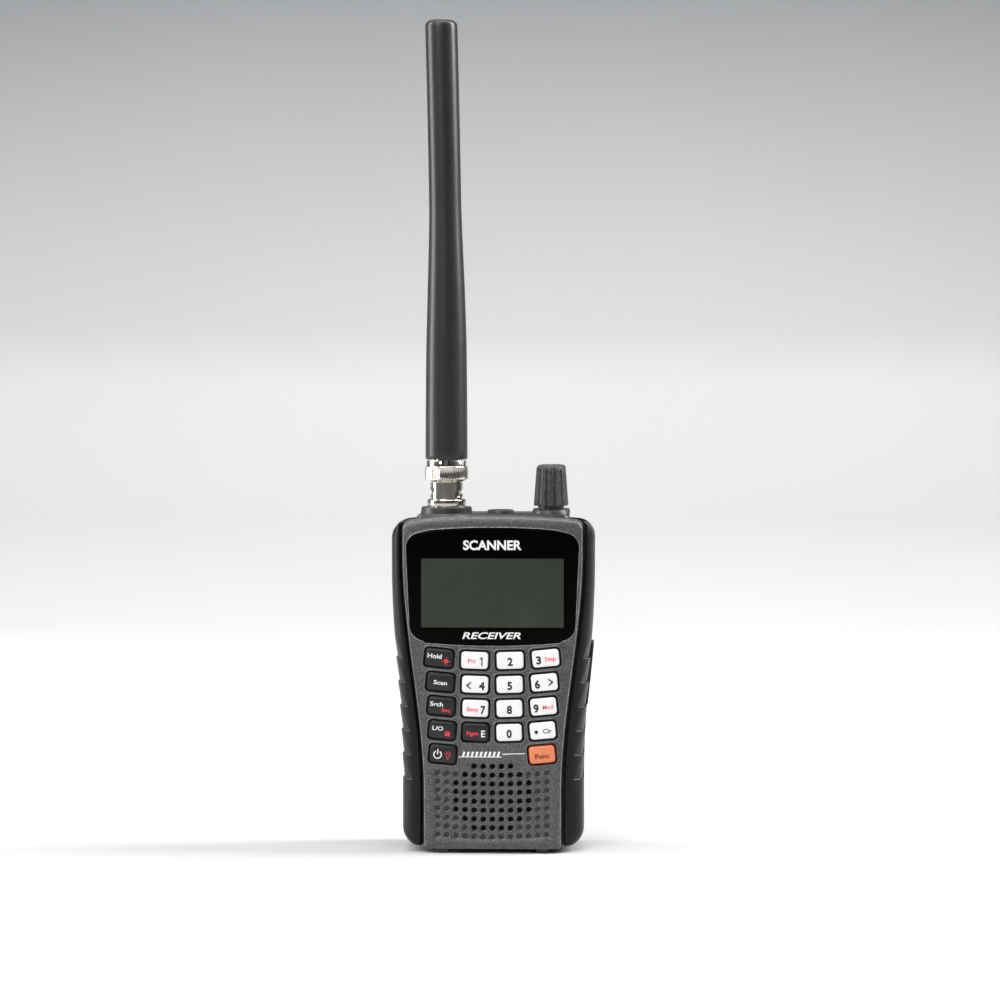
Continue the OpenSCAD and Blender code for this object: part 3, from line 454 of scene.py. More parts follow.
# ---- Front panel ----
KEY_NODES = ["key_hold", "key_1", "key_2", "key_3", "key_scan", "key_4", "key_5", "key_6",
             "key_search", "key_7", "key_8", "key_9", "key_lockout", "key_enter", "key_0", "key_clear",
             "key_power", "key_function"]
ROW_RADIUS = 180.0
SQUEEZE = (1, 0.975, 0.96, 0.945, 0.945)
KEY_W, KEY_H = 8.9, 5.6
KEY_GAP = 0.65
HOLE_PITCH, HOLE_R = 3.0, 0.93
PRINT = 0.012                                   # thickness of the printing

# Cross-sections on the front: how far out of the opening, and how far behind the panel's face
KEY_LIP = ((0.45, 0.0), (0.38, -0.07), (0.26, -0.1), (0.14, -0.07), (0.04, 0.05), (0.0, 0.25), (-0.02, 2.1))
HOLE_WALL = ((0.12, 0), (0, 0.1), (0, 2.1))
DIMPLE_WALL = ((0.02, 0), (-0.06, 0.08), (-0.2, 0.5), (-0.26, 0.6))
LENS_RECESS = ((-0.24, 0), (-0.14, -0.05), (-0.08, 0.05), (-0.04, 1.5))
EDGE_LINE = ((-0.02, 0.02), (0.05, -0.02), (0.12, 0.01))
KEY_SKIRT = ((0.35, 3.2), (0.35, 1.0), (0.3, 0.78), (0.14, 0.68))
KEY_CROWN = ((0.14, 0.68), (0.0, 0.62), (-0.06, 0.3), (-0.14, 0.14), (-0.3, 0.04), (-0.55, 0.0))


def key_place(name):
    """Centre in X and Z, tilt in radians and width of a key's face."""
    low, high = cad(name)
    x, z = (low.x + high.x) / 2, (low.z + high.z) / 2
    row = KEY_NODES.index(name) // 4
    return x, z, math.asin(x / ROW_RADIUS), KEY_W * SQUEEZE[row]


def on_key(name, outline):
    x, z, tilt, _ = key_place(name)
    c, s = math.cos(tilt), math.sin(tilt)
    return [(x + c * px - s * pz, z + s * px + c * pz) for px, pz in outline]


def key_loop(name, extra):
    return on_key(name, round_rect(key_place(name)[3] + 2 * extra, KEY_H + 2 * extra, 1.1 + extra / 2, 5))


def grille_places():
    """Centres of the grille holes and whether each goes through."""
    centre = (cad("speaker_frame")[0].z + cad("speaker_frame")[1].z) / 2
    reach = (2, 3, 4, 4, 4, 4, 3, 2, -1)
    for row in range(9):
        for i in range(-6, 7):
            if row == 0 and abs(i) > 2:
                continue
            x = i * HOLE_PITCH * 1.01
            z = centre + (3.5 - row) * HOLE_PITCH * 0.98 + x * x / (2 * ROW_RADIUS)
            yield x, z, abs(i) <= reach[row]


def front_panel():
    s = Shape()
    # The panel's edge rolls back: narrow at the sides, wide along the top.
    edge = [s.flat(panel_outline(0.35 * (1 - u) ** 2.2, 3.2 * (1 - math.sqrt(1 - (1 - u) ** 2))),
                   FRONT_Y + 3.2 * u ** 1.6) for u in steps(0.0, 1.0, 9)]
    edge.append(s.flat(panel_outline(), -10.9))
    s.stack(edge)
    holes = []
    for key in KEY_NODES:
        rings = [s.flat(key_loop(key, KEY_GAP + e), FRONT_Y + y) for e, y in KEY_LIP]
        # Slot 1 paints the lip round each key opening lighter, as wear and a painted highlight.
        s.stack(rings[:3], 1)
        s.stack(rings[2:])
        holes.append(rings[0])
    for x, z, through in grille_places():
        wall = HOLE_WALL if through else DIMPLE_WALL
        rings = [s.flat(circle(x, z, HOLE_R + e), FRONT_Y + y) for e, y in wall]
        s.stack(rings)
        # Dimple floors take the dark case plastic (slot 2) as painted shade.
        if not through:
            s.fill(rings[-1], slot=2)
        holes.append(rings[0])
    recess = [s.flat(lens_outline(e), FRONT_Y + y) for e, y in LENS_RECESS]
    # Slot 3 paints the rim of the lens recess lighter, as wear and a painted highlight.
    s.stack(recess[:2], 3)
    s.stack(recess[1:])
    s.fill(recess[-1])
    holes.append(recess[0])
    s.fill(edge[0], holes)
    s.build("front_panel", "radio", "panel_plastic", [PANEL, LIP_WEAR_AND_HIGHLIGHT, CASE, WEAR_AND_HIGHLIGHT], ["front_case"], sharp=50)


def panel_edge_line():
    """Thin line, worn and painted lighter as a highlight, where the panel's face turns into its edge."""
    s = Shape()
    rings = [s.flat(panel_outline(0.35 + d, 3.2), FRONT_Y + y) for d, y in EDGE_LINE]
    half = len(rings[0])
    s.stack([ring[2:half - 2] for ring in rings], closed=False)
    s.build("panel_edge_line", "radio", "panel_plastic", WEAR_AND_HIGHLIGHT)


def case_core():
    s = Shape()
    rings = [s.flat(case_outline(2.5, 0.4, 0.4), y) for y in (-8.0, GRIP_BACK_Y + 0.4)]
    s.stack(rings)
    s.fill(rings[0])
    s.build("case_core", "radio", "case_plastic", CASE)
    for place, middle in (("front", FRONT_Y + 3.3), ("rear", BACK_Y - 5.2)):
        for side in (-1, 1):
            foot = Shape()
            rings = []
            for d, z in ((0.35, 0.0), (0.0, 0.3), (0.0, BASE_Z + 1.2)):
                rings.append(foot.ring([(side * FOOT_X + x, middle + y, z)
                                        for x, y in round_rect(4 - 2 * d, 4 - 2 * d, 0.5)]))
            foot.stack(rings)
            foot.face(rings[0])
            foot.build("%s_foot_%s" % (place, "left" if side < 0 else "right"), "radio", "case_plastic", CASE)


# ---- Display ----
def display():
    low, high = cad("lcd_panel")
    cx, cz = 0.0, (low.z + high.z) / 2 + 0.5
    w, h = 47.3, 22.9
    s = Shape()
    face_y = LENS_LOW.y
    profile = ((0.0, face_y + 0.35), (0.08, face_y + 0.12), (0.28, face_y + 0.02), (0.5, face_y))
    rings = [s.flat(lens_outline(0.1), FRONT_Y + 1.3)]
    rings += [s.flat(lens_outline(0.1 + d), y) for d, y in profile]
    s.stack(rings[:2])
    s.stack(rings[1:4])
    s.stack(rings[3:])
    shift = [(cx + x, cz + z) for x, z in round_rect(w, h, 0.4, 3)]
    window = s.flat(shift, face_y)
    s.fill(rings[-1], [window])
    s.fill(window, slot=1)
    s.build("display_window", "radio", "lens_plastic", [LENS, DISPLAY], ["display_lens"], sharp=60)


# ---- Keys ----
def key_cap(name):
    top = cad(name)[0].y + PRINT
    tone = {"key_function": KEY_ORANGE}.get(name, KEY_WHITE)
    # The Func key's skirt is its orange silicone painted darker as shade.
    skirt = KEY_SKIRT_SHADED_ORANGE if name == "key_function" else BLACK
    if name in ("key_hold", "key_scan", "key_search", "key_lockout", "key_enter", "key_power"):
        tone = skirt = KEY_BLACK
    slot = {"key_function": "key_orange"}.get(name, "key_white" if tone is KEY_WHITE else "key_black")
    s = Shape()
    skirt_rings = [s.flat(key_loop(name, e), top + y) for e, y in KEY_SKIRT]
    s.stack(skirt_rings, 1)
    rings = [s.flat(key_loop(name, e), top + y) for e, y in KEY_CROWN]
    s.bridge(skirt_rings[-1], rings[0], 1)
    s.stack(rings[:2], 1)
    s.stack(rings[1:])
    s.fill(rings[-1])
    s.fill(skirt_rings[0], slot=1)
    s.build("cap_" + name[4:], name, slot, [tone, skirt], [name], sharp=60)


CAPITAL = 0.73                                  # height of a capital at text size 1


def lettering(name, body, words, x, z, height, ink, slot, bold=0.0, shear=0.0, turn=0.0, y=None, width=None):
    """Printed text with its centre at (x, z) on the front, height being that of a capital."""
    curve = bpy.data.curves.new(name, "FONT")
    curve.body, curve.size = words, 1.0
    curve.offset, curve.shear, curve.resolution_u = bold, shear, 5
    text = bpy.data.objects.new(name, curve)
    bpy.context.scene.collection.objects.link(text)
    graph = bpy.context.evaluated_depsgraph_get()
    flat = bpy.data.meshes.new_from_object(text.evaluated_get(graph))
    bpy.data.objects.remove(text)
    xs = [v.co.x for v in flat.vertices]
    tall, wide = CAPITAL + 2 * bold, max(xs) - min(xs)
    up = height / tall
    across = width / wide if width else up
    c, k, mid = math.cos(turn), math.sin(turn), (max(xs) + min(xs)) / 2
    s = Shape()
    s.ring([(x + c * a - k * b, y, z + k * a + c * b)
            for a, b in (((v.co.x - mid) * across, (v.co.y - CAPITAL / 2) * up) for v in flat.vertices)])
    for f in flat.polygons:
        s.face(f.vertices)
    return s.build(name, body, slot, ink)


def key_text(key, tag, words, dx, dz, height, ink, width=None, bold=0.0):
    x, z, tilt, _ = key_place(key)
    px = x + dx * math.cos(tilt) - dz * math.sin(tilt)
    pz = z + dx * math.sin(tilt) + dz * math.cos(tilt)
    slot = "key_white" if ink in (INK_WHITE,) else "key_black"
    lettering("%s_%s" % (tag, key[4:]), key, words, px, pz, height, ink, slot, bold, turn=tilt,
              y=cad(key)[0].y, width=width)


def icon(key, tag, parts, dx, dz, ink):
    """A small printed symbol; each part is (outer loop, hole loops) about the symbol's centre."""
    s = Shape()
    y = cad(key)[0].y
    for outer, holes in parts:
        rings = [s.flat(on_key(key, [(dx + a, dz + b) for a, b in loop]), y) for loop in [outer] + holes]
        s.fill(rings[0], rings[1:])
    s.build("%s_%s" % (tag, key[4:]), key, "key_white" if ink is INK_WHITE else "key_black", ink)


def box_loop(x, z, w, h):
    return [(x - w / 2, z - h / 2), (x + w / 2, z - h / 2), (x + w / 2, z + h / 2), (x - w / 2, z + h / 2)]


def partial_ring(r, width, a0, a1, n=24):
    return arc(0, 0, r + width / 2, a0, a1, n) + list(reversed(arc(0, 0, r - width / 2, a0, a1, n)))


# Legends: key, words, place across the key, and width; the white ones have place up and height as well
DIGITS = (("key_2", "2", 0, 1.75), ("key_3", "3", -2.4, 1.7), ("key_4", "4", 2.3, 1.9),
          ("key_5", "5", 0, 1.65), ("key_6", "6", -2.35, 1.75), ("key_7", "7", 2.6, 1.6),
          ("key_8", "8", 0, 1.75), ("key_9", "9", -2.5, 1.75), ("key_0", "0", 0, 1.75))
PINK_WORDS = (("key_1", "Pri", -0.95, 2.5), ("key_3", "Step", 1.5, 3.7), ("key_7", "Beep", -0.85, 3.8),
              ("key_9", "Mod", 1.45, 3.5))
WHITE_WORDS = (("key_hold", "Hold", -1.5, 0.6, 1.65, 4.7), ("key_scan", "Scan", 0, -0.1, 1.5, 4.5),
               ("key_search", "Srch", -1.6, 0.65, 1.6, 4.3), ("key_lockout", "L/O", -1.5, 0.6, 1.5, 3.6))
RAY = ((0.95, -0.08), (1.35, -0.08), (1.35, 0.08), (0.95, 0.08))


def key_legends():
    digit = dict(height=2.95, bold=0.044)
    one = [(0.22, -1.45), (0.22, 1.45), (-0.1, 1.45), (-0.72, 0.98), (-0.72, 0.6), (-0.18, 0.9),
           (-0.18, -1.45)]
    icon("key_1", "digit", [(one, [])], 2.45, -0.35, INK_BLACK)
    for key, words, dx, wide in DIGITS:
        key_text(key, "digit", words, dx, -0.35, ink=INK_BLACK, width=wide, **digit)
    for key, words, dx, wide in PINK_WORDS:
        key_text(key, "word", words, dx, -0.25, 1.5, INK_PINK, wide, 0.018)
    for key, words, dx, dz, high, wide in WHITE_WORDS:
        key_text(key, "word", words, dx, dz, high, INK_WHITE, wide, 0.02)
    key_text("key_search", "second", "Svc", 1.75, -1.15, 1.3, INK_RED, 3.1, 0.025)
    key_text("key_enter", "second", "Pgm", -1.0, -0.3, 1.35, INK_RED, 3.9, 0.025)
    key_text("key_enter", "word", "E", 2.55, -0.3, 2.4, INK_WHITE, 1.35, 0.015)
    key_text("key_clear", "word", "Clr", 1.55, -0.2, 1.6, INK_BLACK, 2.9, 0.02)
    key_text("key_function", "word", "Func", 0.05, -0.45, 1.75, INK_BROWN, 4.9, 0.04)
    chevron = [(0.8, 1.35), (0.8, 0.9), (-0.2, 0.0), (0.8, -0.9), (0.8, -1.35), (-0.85, -0.18), (-0.85, 0.18)]
    icon("key_4", "arrow", [(chevron, [])], -2.1, -0.4, INK_BLACK)
    icon("key_6", "arrow", [([(-a, b) for a, b in chevron], [])], 2.1, -0.1, INK_BLACK)
    icon("key_clear", "dot", [(circle(0, 0, 0.62), [])], -2.15, -0.35, INK_BLACK)
    icon("key_power", "symbol", [(partial_ring(1.25, 0.36, 122, 418), []), (box_loop(0, 1.0, 0.36, 1.7), [])],
         -1.7, -0.25, INK_WHITE)
    lamp = [(partial_ring(0.62, 0.2, -60, 240), []), (box_loop(0, -0.85, 0.62, 0.28), []),
            (box_loop(0, -1.25, 0.42, 0.24), [])]
    for a in (30, 60, 90, 120, 150):
        lamp.append(([(cos(a) * r - sin(a) * w, sin(a) * r + cos(a) * w) for r, w in RAY], []))
    icon("key_power", "lamp", lamp, 1.75, -0.2, INK_RED)
    shackle = [(a, b + 0.5) for a, b in partial_ring(0.55, 0.25, 0, 180)]
    icon("key_lockout", "lock", [(round_rect(1.7, 1.15, 0.15, 2), [circle(0, 0, 0.22, 10)]), (shackle, [])],
         1.85, -1.2, INK_RED)
    diamond = [(0, 0.95), (-0.95, 0), (0, -0.95), (0.95, 0)]
    icon("key_hold", "diamond", [(diamond, [box_loop(0, 0, 0.6, 0.16)]), (box_loop(0, 1.15, 0.14, 0.5), []),
                                 (box_loop(0, -1.15, 0.14, 0.5), []), (box_loop(1.15, 0, 0.5, 0.14), []),
                                 (box_loop(-1.15, 0, 0.5, 0.14), [])], 2.4, -0.85, INK_RED)


def panel_lettering():
    y = LENS_LOW.y - PRINT
    lettering("word_on_display", "radio", "SCANNER", 0, 102.9, 3.4, INK_WHITE, "key_white", 0.03,
              y=y, width=19.4)
    lettering("word_under_display", "radio", "RECEIVER", -0.3, 72.8, 2.35, INK_WHITE, "key_white", 0.02,
              shear=0.25, y=y, width=19.5)
    s = Shape()
    z = (cad("key_power")[0].z + cad("key_power")[1].z) / 2
    for i in range(9):
        x = -10.2 + i * 1.45
        bar = [(x, z - 0.85), (x + 0.75, z - 0.85), (x + 1.25, z + 0.85), (x + 0.5, z + 0.85)]
        s.fill(s.flat(bar, FRONT_Y - PRINT))
    tail = [(-11.2, z - 1.05), (3.0, z - 1.05), (3.1, z - 0.8), (-11.1, z - 0.8)]
    s.fill(s.flat(tail, FRONT_Y - 0.014))
    s.fill(s.flat([(3.4, z - 0.15), (10.8, z + 0.15), (10.9, z + 0.4), (3.3, z + 0.2)], FRONT_Y - PRINT))
    s.build("ornament", "radio", "key_white", INK_WHITE)


# ---- Side grips ----
LEDGES = [cad("key_hold")[1].z - 4.4 - i * 8.1 for i in range(6)]
LEDGE_H = 7.6


def scoop_depth(z, s):
    """How far a finger ledge sinks the grip: z is height, s runs 0 at the groove to 1 on the side."""
    for ledge in LEDGES:
        u = (z - ledge) / LEDGE_H
        if 0 <= u < 1:
            reach = 0.22 + 0.5 * u ** 1.4
            return 0.6 * (1 - u) ** 1.15 * smooth((s - reach) / 0.22)
    return 0.0


def grip_heights():
    zs = [BASE_Z + LOW_CORNER * (1 + sin(a)) for a in steps(-58, 0, 9)]
    zs += steps(zs[-1] + 1, SHOULDER_Z - TOP_CORNER, 70)
    zs += [SHOULDER_Z - TOP_CORNER * (1 - sin(a)) for a in steps(8, 56, 9)]
    zs = [z for z in zs if all(abs(z - ledge) > 0.3 for ledge in LEDGES)]
    for ledge in LEDGES:
        zs += [ledge - 0.28, ledge - 0.06, ledge + 0.1, ledge + 0.45]
    return sorted(zs)


def outer_x(z):
    low, high = BASE_Z + LOW_CORNER, SHOULDER_Z - TOP_CORNER
    if z < low:
        return side_x(BASE_Z) - LOW_CORNER + math.sqrt(max(0.0, LOW_CORNER ** 2 - (low - z) ** 2))
    if z > high:
        return HALF_W - TOP_CORNER + math.sqrt(max(0.0, TOP_CORNER ** 2 - (z - high) ** 2))
    return side_x(z)


def grip_section(z):
    """Points of the grip's skin at height z, from the groove round to the back edge, with s along it."""
    x_in, x_out = panel_x(z) + GROOVE, outer_x(z)
    a, b = max(0.5, x_out - x_in - 0.4), 7.0
    points = [(x_in, GRIP_Y + 3.4, 0), (x_in, GRIP_Y + 0.7, 0), (x_in + 0.1, GRIP_Y + 0.22, 0)]
    points += [(x_in + 0.4 + a * sin(t), GRIP_Y + b * (1 - cos(t)), t / 90) for t in steps(0, 90, 18)]
    points += [(x_in + 0.4 + a, y, 1.0 - 0.9 * smooth((y - 1.5) / 5.2))
               for y in steps(GRIP_Y + b + 1, GRIP_BACK_Y - 0.3, 12)]
    points += [(x_in + 0.1 + a, GRIP_BACK_Y, 0), (x_in + 0.4 + a - 2.0, GRIP_BACK_Y, 0)]
    return points


def grip(side):
    s = Shape()
    rings, heights = [], grip_heights()
    for z in heights:
        skin = [(x, y, t, scoop_depth(z, t)) for x, y, t in grip_section(z)]
        rings.append(s.ring([(side * (x - sink * min(1.0, 0.35 + t)), y + 0.25 * sink, z)
                             for x, y, t, sink in skin]))
    for i, (a, b) in enumerate(zip(rings, rings[1:])):
        # Faces along each ledge take the lighter colour as a painted highlight.
        on_ledge = any(heights[i] < ledge + 0.1 and heights[i + 1] > ledge - 0.05 for ledge in LEDGES)
        first, last = (9, 15) if on_ledge else (0, 0)
        for k in range(len(a)):
            j = (k + 1) % len(a)
            s.face((a[k], a[j], b[j], b[k]), 1 if first <= k < last else 0)
    s.face(rings[0])
    s.face(rings[-1])
    name = "grip_right" if side > 0 else "grip_left"
    obj = s.build("shell_" + name, "radio", "grip_plastic", [GRIP, LEDGE_HIGHLIGHT], [name], sharp=38)
    if side > 0:
        low, high = cad("usb_jack")
        mid = (low + high) / 2
        port = Shape()
        loops = [port.ring([(x, mid.y + a, mid.z + b) for a, b in round_rect(4.9, 8.7, 0.8, 3)])
                 for x in (high.x - 2.5, high.x + 8)]
        port.stack(loops)
        port.face(loops[0])
        port.face(loops[1])
        cut(obj, port, 38)


def port_cover():
    low, high = cad("port_cover")
    s = Shape()
    y, z0, z1 = (low.y + high.y) / 2, low.z, high.z
    for a, b, out_a, out_b, w in ((z0 + 7.2, z1, 0.55, 0.85, 9.0), (z0 + 0.4, z0 + 7.0, 0.3, 0.5, 7.6)):
        rings = []
        for d, lift in ((0.0, -1.3), (0.0, -0.3), (0.18, -0.08), (0.5, 0.0)):
            zc = (a + b) / 2
            rings.append(s.ring([
                (side_x(zc + q) + lift + out_a + (out_b - out_a) * (q + (b - a) / 2) / (b - a), y + p, zc + q)
                for p, q in round_rect(w - 2 * d, (b - a) - 2 * d, 1.1 - d, 4)]))
        s.stack(rings)
        s.face(rings[-1])
    s.build("port_cover_skin", "flap", "black_rubber", RUBBER, ["port_cover"])


# ---- Rear shell ----
SCREW_LOW, SCREW_HIGH = cad("case_screws")
HEAD_R = 2.1
CROSS = ((0.3, 0.3), (0.3, 1.1), (-0.3, 1.1), (-0.3, 0.3), (-1.1, 0.3), (-1.1, -0.3),
         (-0.3, -0.3), (-0.3, -1.1), (0.3, -1.1), (0.3, -0.3), (1.1, -0.3), (1.1, 0.3))
SCREWS = [(SCREW_HIGH.x - HEAD_R, SCREW_HIGH.z - HEAD_R), (21.5, SCREW_LOW.z + HEAD_R)]


def rear_shell():
    door_low, door_high = cad("battery_door")
    bay_low, bay_high = cad("battery_cells")
    contact_low, contact_high = cad("battery_contacts")
    s = Shape()
    front, ledge = GRIP_BACK_Y + 0.1, door_low.y - 0.1
    curve = [(front + (BACK_Y - front) * math.sin(u * math.pi / 2), 5.6 * (1 - math.cos(u * math.pi / 2)))
             for u in steps(0, 1, 10)]
    rings = [s.flat(case_outline(d, d / 2, d / 2), y) for y, d in curve]
    s.stack(rings)
    gap = 0.28
    door_z, door_h = (door_low.z + door_high.z) / 2, door_high.z - door_low.z
    door_w = door_high.x - door_low.x
    door = [(x, door_z + z) for x, z in round_rect(door_w + 2 * gap, door_h + 2 * gap, 0.8, 4)]
    bay_z, bay_h = (contact_low.z + contact_high.z) / 2, contact_high.z - contact_low.z + 0.2
    bay = [(x, bay_z + z) for x, z in round_rect(bay_high.x - bay_low.x + 1.3, bay_h, 0.5, 3)]
    pocket = [s.flat(door, BACK_Y), s.flat(door, ledge)]
    walls = [s.flat(bay, ledge), s.flat(bay, front)]
    s.stack(pocket)
    s.fill(pocket[1], [walls[0]])
    s.stack(walls)
    s.fill(rings[0], [walls[1]])
    s.fill(rings[-1], [pocket[0]])
    obj = s.build("rear_shell", "radio", "case_plastic", CASE, ["rear_case"], sharp=40)
    cutter = Shape()
    low, high = cad("clip_inserts")
    inserts = [(high.x - 2.05, (low.z + high.z) / 2)]
    for places, r, depth in ((SCREWS, 2.3, 3.0), (inserts, 2.1, 1.2)):
        for x, z in places:
            for side in (-1, 1):
                loops = [cutter.flat(circle(side * x, z, r, 32), y) for y in (BACK_Y - depth, BACK_Y + 1)]
                cutter.stack(loops)
                cutter.fill(loops[0])
                cutter.fill(loops[1])
    cut(obj, cutter)
    tub = Shape()
    inner = [tub.flat(bay, front), tub.flat(bay, bay_low.y - 0.3)]
    tub.stack(inner)
    tub.fill(inner[1])
    tub.build("battery_tub", "radio", "case_plastic", CASE)


def screw_heads():
    high = SCREW_HIGH
    s = Shape()
    for side in (-1, 1):
        for x, z in SCREWS:
            rings = [s.flat([(side * px, pz) for px, pz in circle(x, z, r, 24)], y)
                     for r, y in ((HEAD_R, high.y - 1.0), (HEAD_R, high.y - 0.2), (1.8, high.y))]
            slots = [s.flat([(side * (x + a), z + b) for a, b in CROSS], y) for y in (high.y, high.y - 0.8)]
            s.stack(rings)
            s.stack(slots)
            s.fill(slots[1])
            s.fill(rings[-1], [slots[0]])
    s.build("screw_heads", "radio", "black_steel", BLACK, ["case_screws"])


def battery_door():
    low, high = cad("battery_door")
    w, h = high.x - low.x, high.z - low.z
    cz = (low.z + high.z) / 2
    s = Shape()
    rings = [s.flat([(x, cz + z) for x, z in round_rect(w - 2 * d, h - 2 * d, 0.8, 4)], y)
             for d, y in ((0, low.y), (0, BACK_Y - 0.35), (0.1, BACK_Y - 0.12), (0.35, BACK_Y))]
    s.fill(rings[0])
    s.stack(rings)
    ribs = []
    for i in range(5):
        z = high.z - 5 - i * 1.7
        loops = []
        for d, y in ((0, BACK_Y), (0.15, BACK_Y - 0.35)):
            rib = round_rect(14 - i * 1.2 - 2 * d, 1.0 - 2 * d, 0.45 - d, 3)
            loops.append(s.flat([(x, z + q) for x, q in rib], y))
        s.stack(loops)
        s.fill(loops[1])
        ribs.append(loops[0])
    s.fill(rings[-1], ribs)
    s.build("door_panel", "door", "case_plastic", CASE, ["battery_door"], sharp=40)


# ---- Top ----
def turned(s, cx, cy, profile, n=64, wave=None, slot=0):
    """Rings of a turned shape from (radius, height) pairs; wave(angle, height) is added to the radius."""
    rings = []
    for r, z in profile:
        pts = []
        for i in range(n):
            a = 2 * math.pi * i / n
            rr = r + (wave(a, z) if wave else 0)
            pts.append((cx + rr * math.cos(a), cy + rr * math.sin(a), z))
        rings.append(s.ring(pts))
    s.stack(rings, slot)
    return rings


def top_cover():
    s = Shape()
    low, high = COVER_LOW, COVER_HIGH
    w, d = high.x - low.x, high.y - low.y
    rings = []
    for inset, z in ((0, low.z + 0.6), (0, HEIGHT - 0.7), (0.2, HEIGHT - 0.25), (0.7, HEIGHT)):
        loop = round_rect(w - 2 * inset, d - 2 * inset, 3 - inset / 2)
        rings.append(s.ring([(x, y, z - 0.0012 * x * x) for x, y in loop]))
    s.stack(rings)
    s.face(rings[-1])
    s.build("top_plate", "radio", "case_plastic", CASE, ["top_cover"])
    ax = (cad("antenna_sleeve")[0].x + cad("antenna_sleeve")[1].x) / 2
    collars = Shape()
    turned(collars, ax, 0, ((8.7, HEIGHT - 1), (8.6, HEIGHT + 0.2), (8.45, high.z - 0.25), (8.2, high.z),
                            (6.85, high.z), (6.7, high.z - 0.2), (6.7, high.z - 1)), 96)
    jx = (cad("phone_jack")[0].x + cad("phone_jack")[1].x) / 2
    turned(collars, jx, 0, ((4.6, HEIGHT - 0.6), (4.35, HEIGHT + 0.2), (4.1, HEIGHT + 0.5),
                            (3.4, HEIGHT + 0.55), (3.25, HEIGHT + 0.3), (3.2, HEIGHT - 0.6)), 64)
    for knob in ("volume_knob", "squelch_knob"):
        c = (cad(knob)[0] + cad(knob)[1]) / 2
        rings = turned(collars, c.x, c.y, ((6.4, HEIGHT - 0.8), (6.2, HEIGHT + 0.35), (6.0, HEIGHT + 0.65),
                                           (5.4, HEIGHT + 0.7)), 64)
        collars.face(rings[-1])
    collars.build("top_collars", "radio", "case_plastic", CASE)


def knob(node_name, body):
    low, high = cad(node_name)
    c = (low + high) / 2
    foot, top = low.z + 1.3, high.z
    r0, r1 = (high.x - low.x) / 2, (high.x - low.x) * 0.42

    def flutes(a, z):
        k = (a * 12 / (2 * math.pi)) % 1.0
        off = abs(k - 0.5)
        cut = max(0.0, 1 - off / 0.13) ** 0.8
        fade = smooth((top - 0.7 - z) / 0.5) * smooth((z - foot + 0.6) / 0.3)
        return -0.55 * cut * fade if z > foot - 0.05 else 0.0

    s = Shape()
    turned(s, c.x, c.y, ((4.3, low.z), (4.3, foot), (r0 - 0.9, foot)), 240)
    span = top - 0.9 - foot
    profile = [(r0 - 0.9, foot), (r0 - 0.12, foot + 0.02), (r0, foot + 0.18)]
    profile += [(r0 + (r1 - r0) * t, foot + span * t) for t in steps(0.1, 1.0, 8)]
    profile += [(r1 - 0.22, top - 0.5), (r1 - 0.75, top - 0.22), (r1 - 1.6, top - 0.06), (r1 - 3.0, top)]
    rings = turned(s, c.x, c.y, profile, 240, flutes)
    s.face(rings[-1])
    s.build(node_name + "_skin", body, "knob_plastic", KNOB, [node_name], sharp=50)
    mark = Shape()
    loop = [(c.x + x, c.y + y) for x, y in round_rect(0.5, 2.2, 0.2, 3)]
    pts = mark.ring([(x, y - 3.0, top - 0.05 + 0.03) for x, y in loop])
    mark.face(pts)
    mark.build(node_name + "_mark", body, "key_white", INK_WHITE)


# ---- Antenna ----
def antenna_axis():
    low, high = cad("antenna_sleeve")
    return (low.x + high.x) / 2


def coupling():
    """Bayonet ring: flared rim, drum with its two slots, knurled band and a notched crown."""
    low, high = cad("coupling_ring")
    ax, z0, z1 = antenna_axis(), low.z, high.z
    s = Shape()
    turned(s, ax, 0, ((5.0, z0), (6.35, z0), (6.6, z0 + 0.25), (6.6, z0 + 2.0), (6.4, z0 + 2.25),
                      (5.55, z0 + 2.4)), 96)
    s.build("coupling_rim", "coupling", "nickel", NICKEL, ["coupling_ring"], sharp=45, bevel=0.08)
    drum = Shape()
    a = turned(drum, ax, 0, ((5.52, z0 + 2.2), (5.52, z0 + 8.4)), 96)
    b = turned(drum, ax, 0, ((5.0, z0 + 2.2), (5.0, z0 + 8.4)), 96)
    drum.bridge(a[0], b[0])
    drum.bridge(a[1], b[1])
    obj = drum.build("coupling_drum", "coupling", "nickel", NICKEL, sharp=45)
    cut(obj, bayonet_cutter(ax, z0), crossing=True)

    def knurl(angle, z):
        k = (angle * 56 / (2 * math.pi)) % 1.0
        fade = smooth((z - (z0 + 9.0)) / 0.3) * smooth((z0 + 13.2 - z) / 0.3)
        return -0.22 * abs(2 * k - 1) * fade

    band = Shape()
    profile = ((5.5, z0 + 8.0), (6.5, z0 + 8.3), (7.0, z0 + 8.75), (7.12, z0 + 9.0), (7.15, z0 + 9.3),
               (7.15, z0 + 12.9), (7.12, z0 + 13.2), (6.95, z0 + 13.45), (6.3, z0 + 13.5))
    turned(band, ax, 0, profile, 336, knurl)
    band.build("coupling_knurl", "coupling", "nickel", NICKEL, sharp=60)
    crown = Shape()
    notches, half_notch = 6, math.radians(11.5)
    for k in range(notches):
        mid = -math.pi / 2 + k * 2 * math.pi / notches
        span = steps(mid + half_notch, mid + 2 * math.pi / notches - half_notch, 10)
        rings = []
        for r0, r1, z in ((6.1, 6.75, z0 + 13.4), (6.1, 6.75, z1 - 0.2), (6.2, 6.6, z1)):
            loop = [(ax + r1 * math.cos(t), r1 * math.sin(t), z) for t in span]
            loop += [(ax + r0 * math.cos(t), r0 * math.sin(t), z) for t in reversed(span)]
            rings.append(crown.ring(loop))
        crown.stack(rings)
        crown.face(rings[-1])
    crown.build("coupling_crown", "coupling", "nickel", NICKEL, sharp=40)


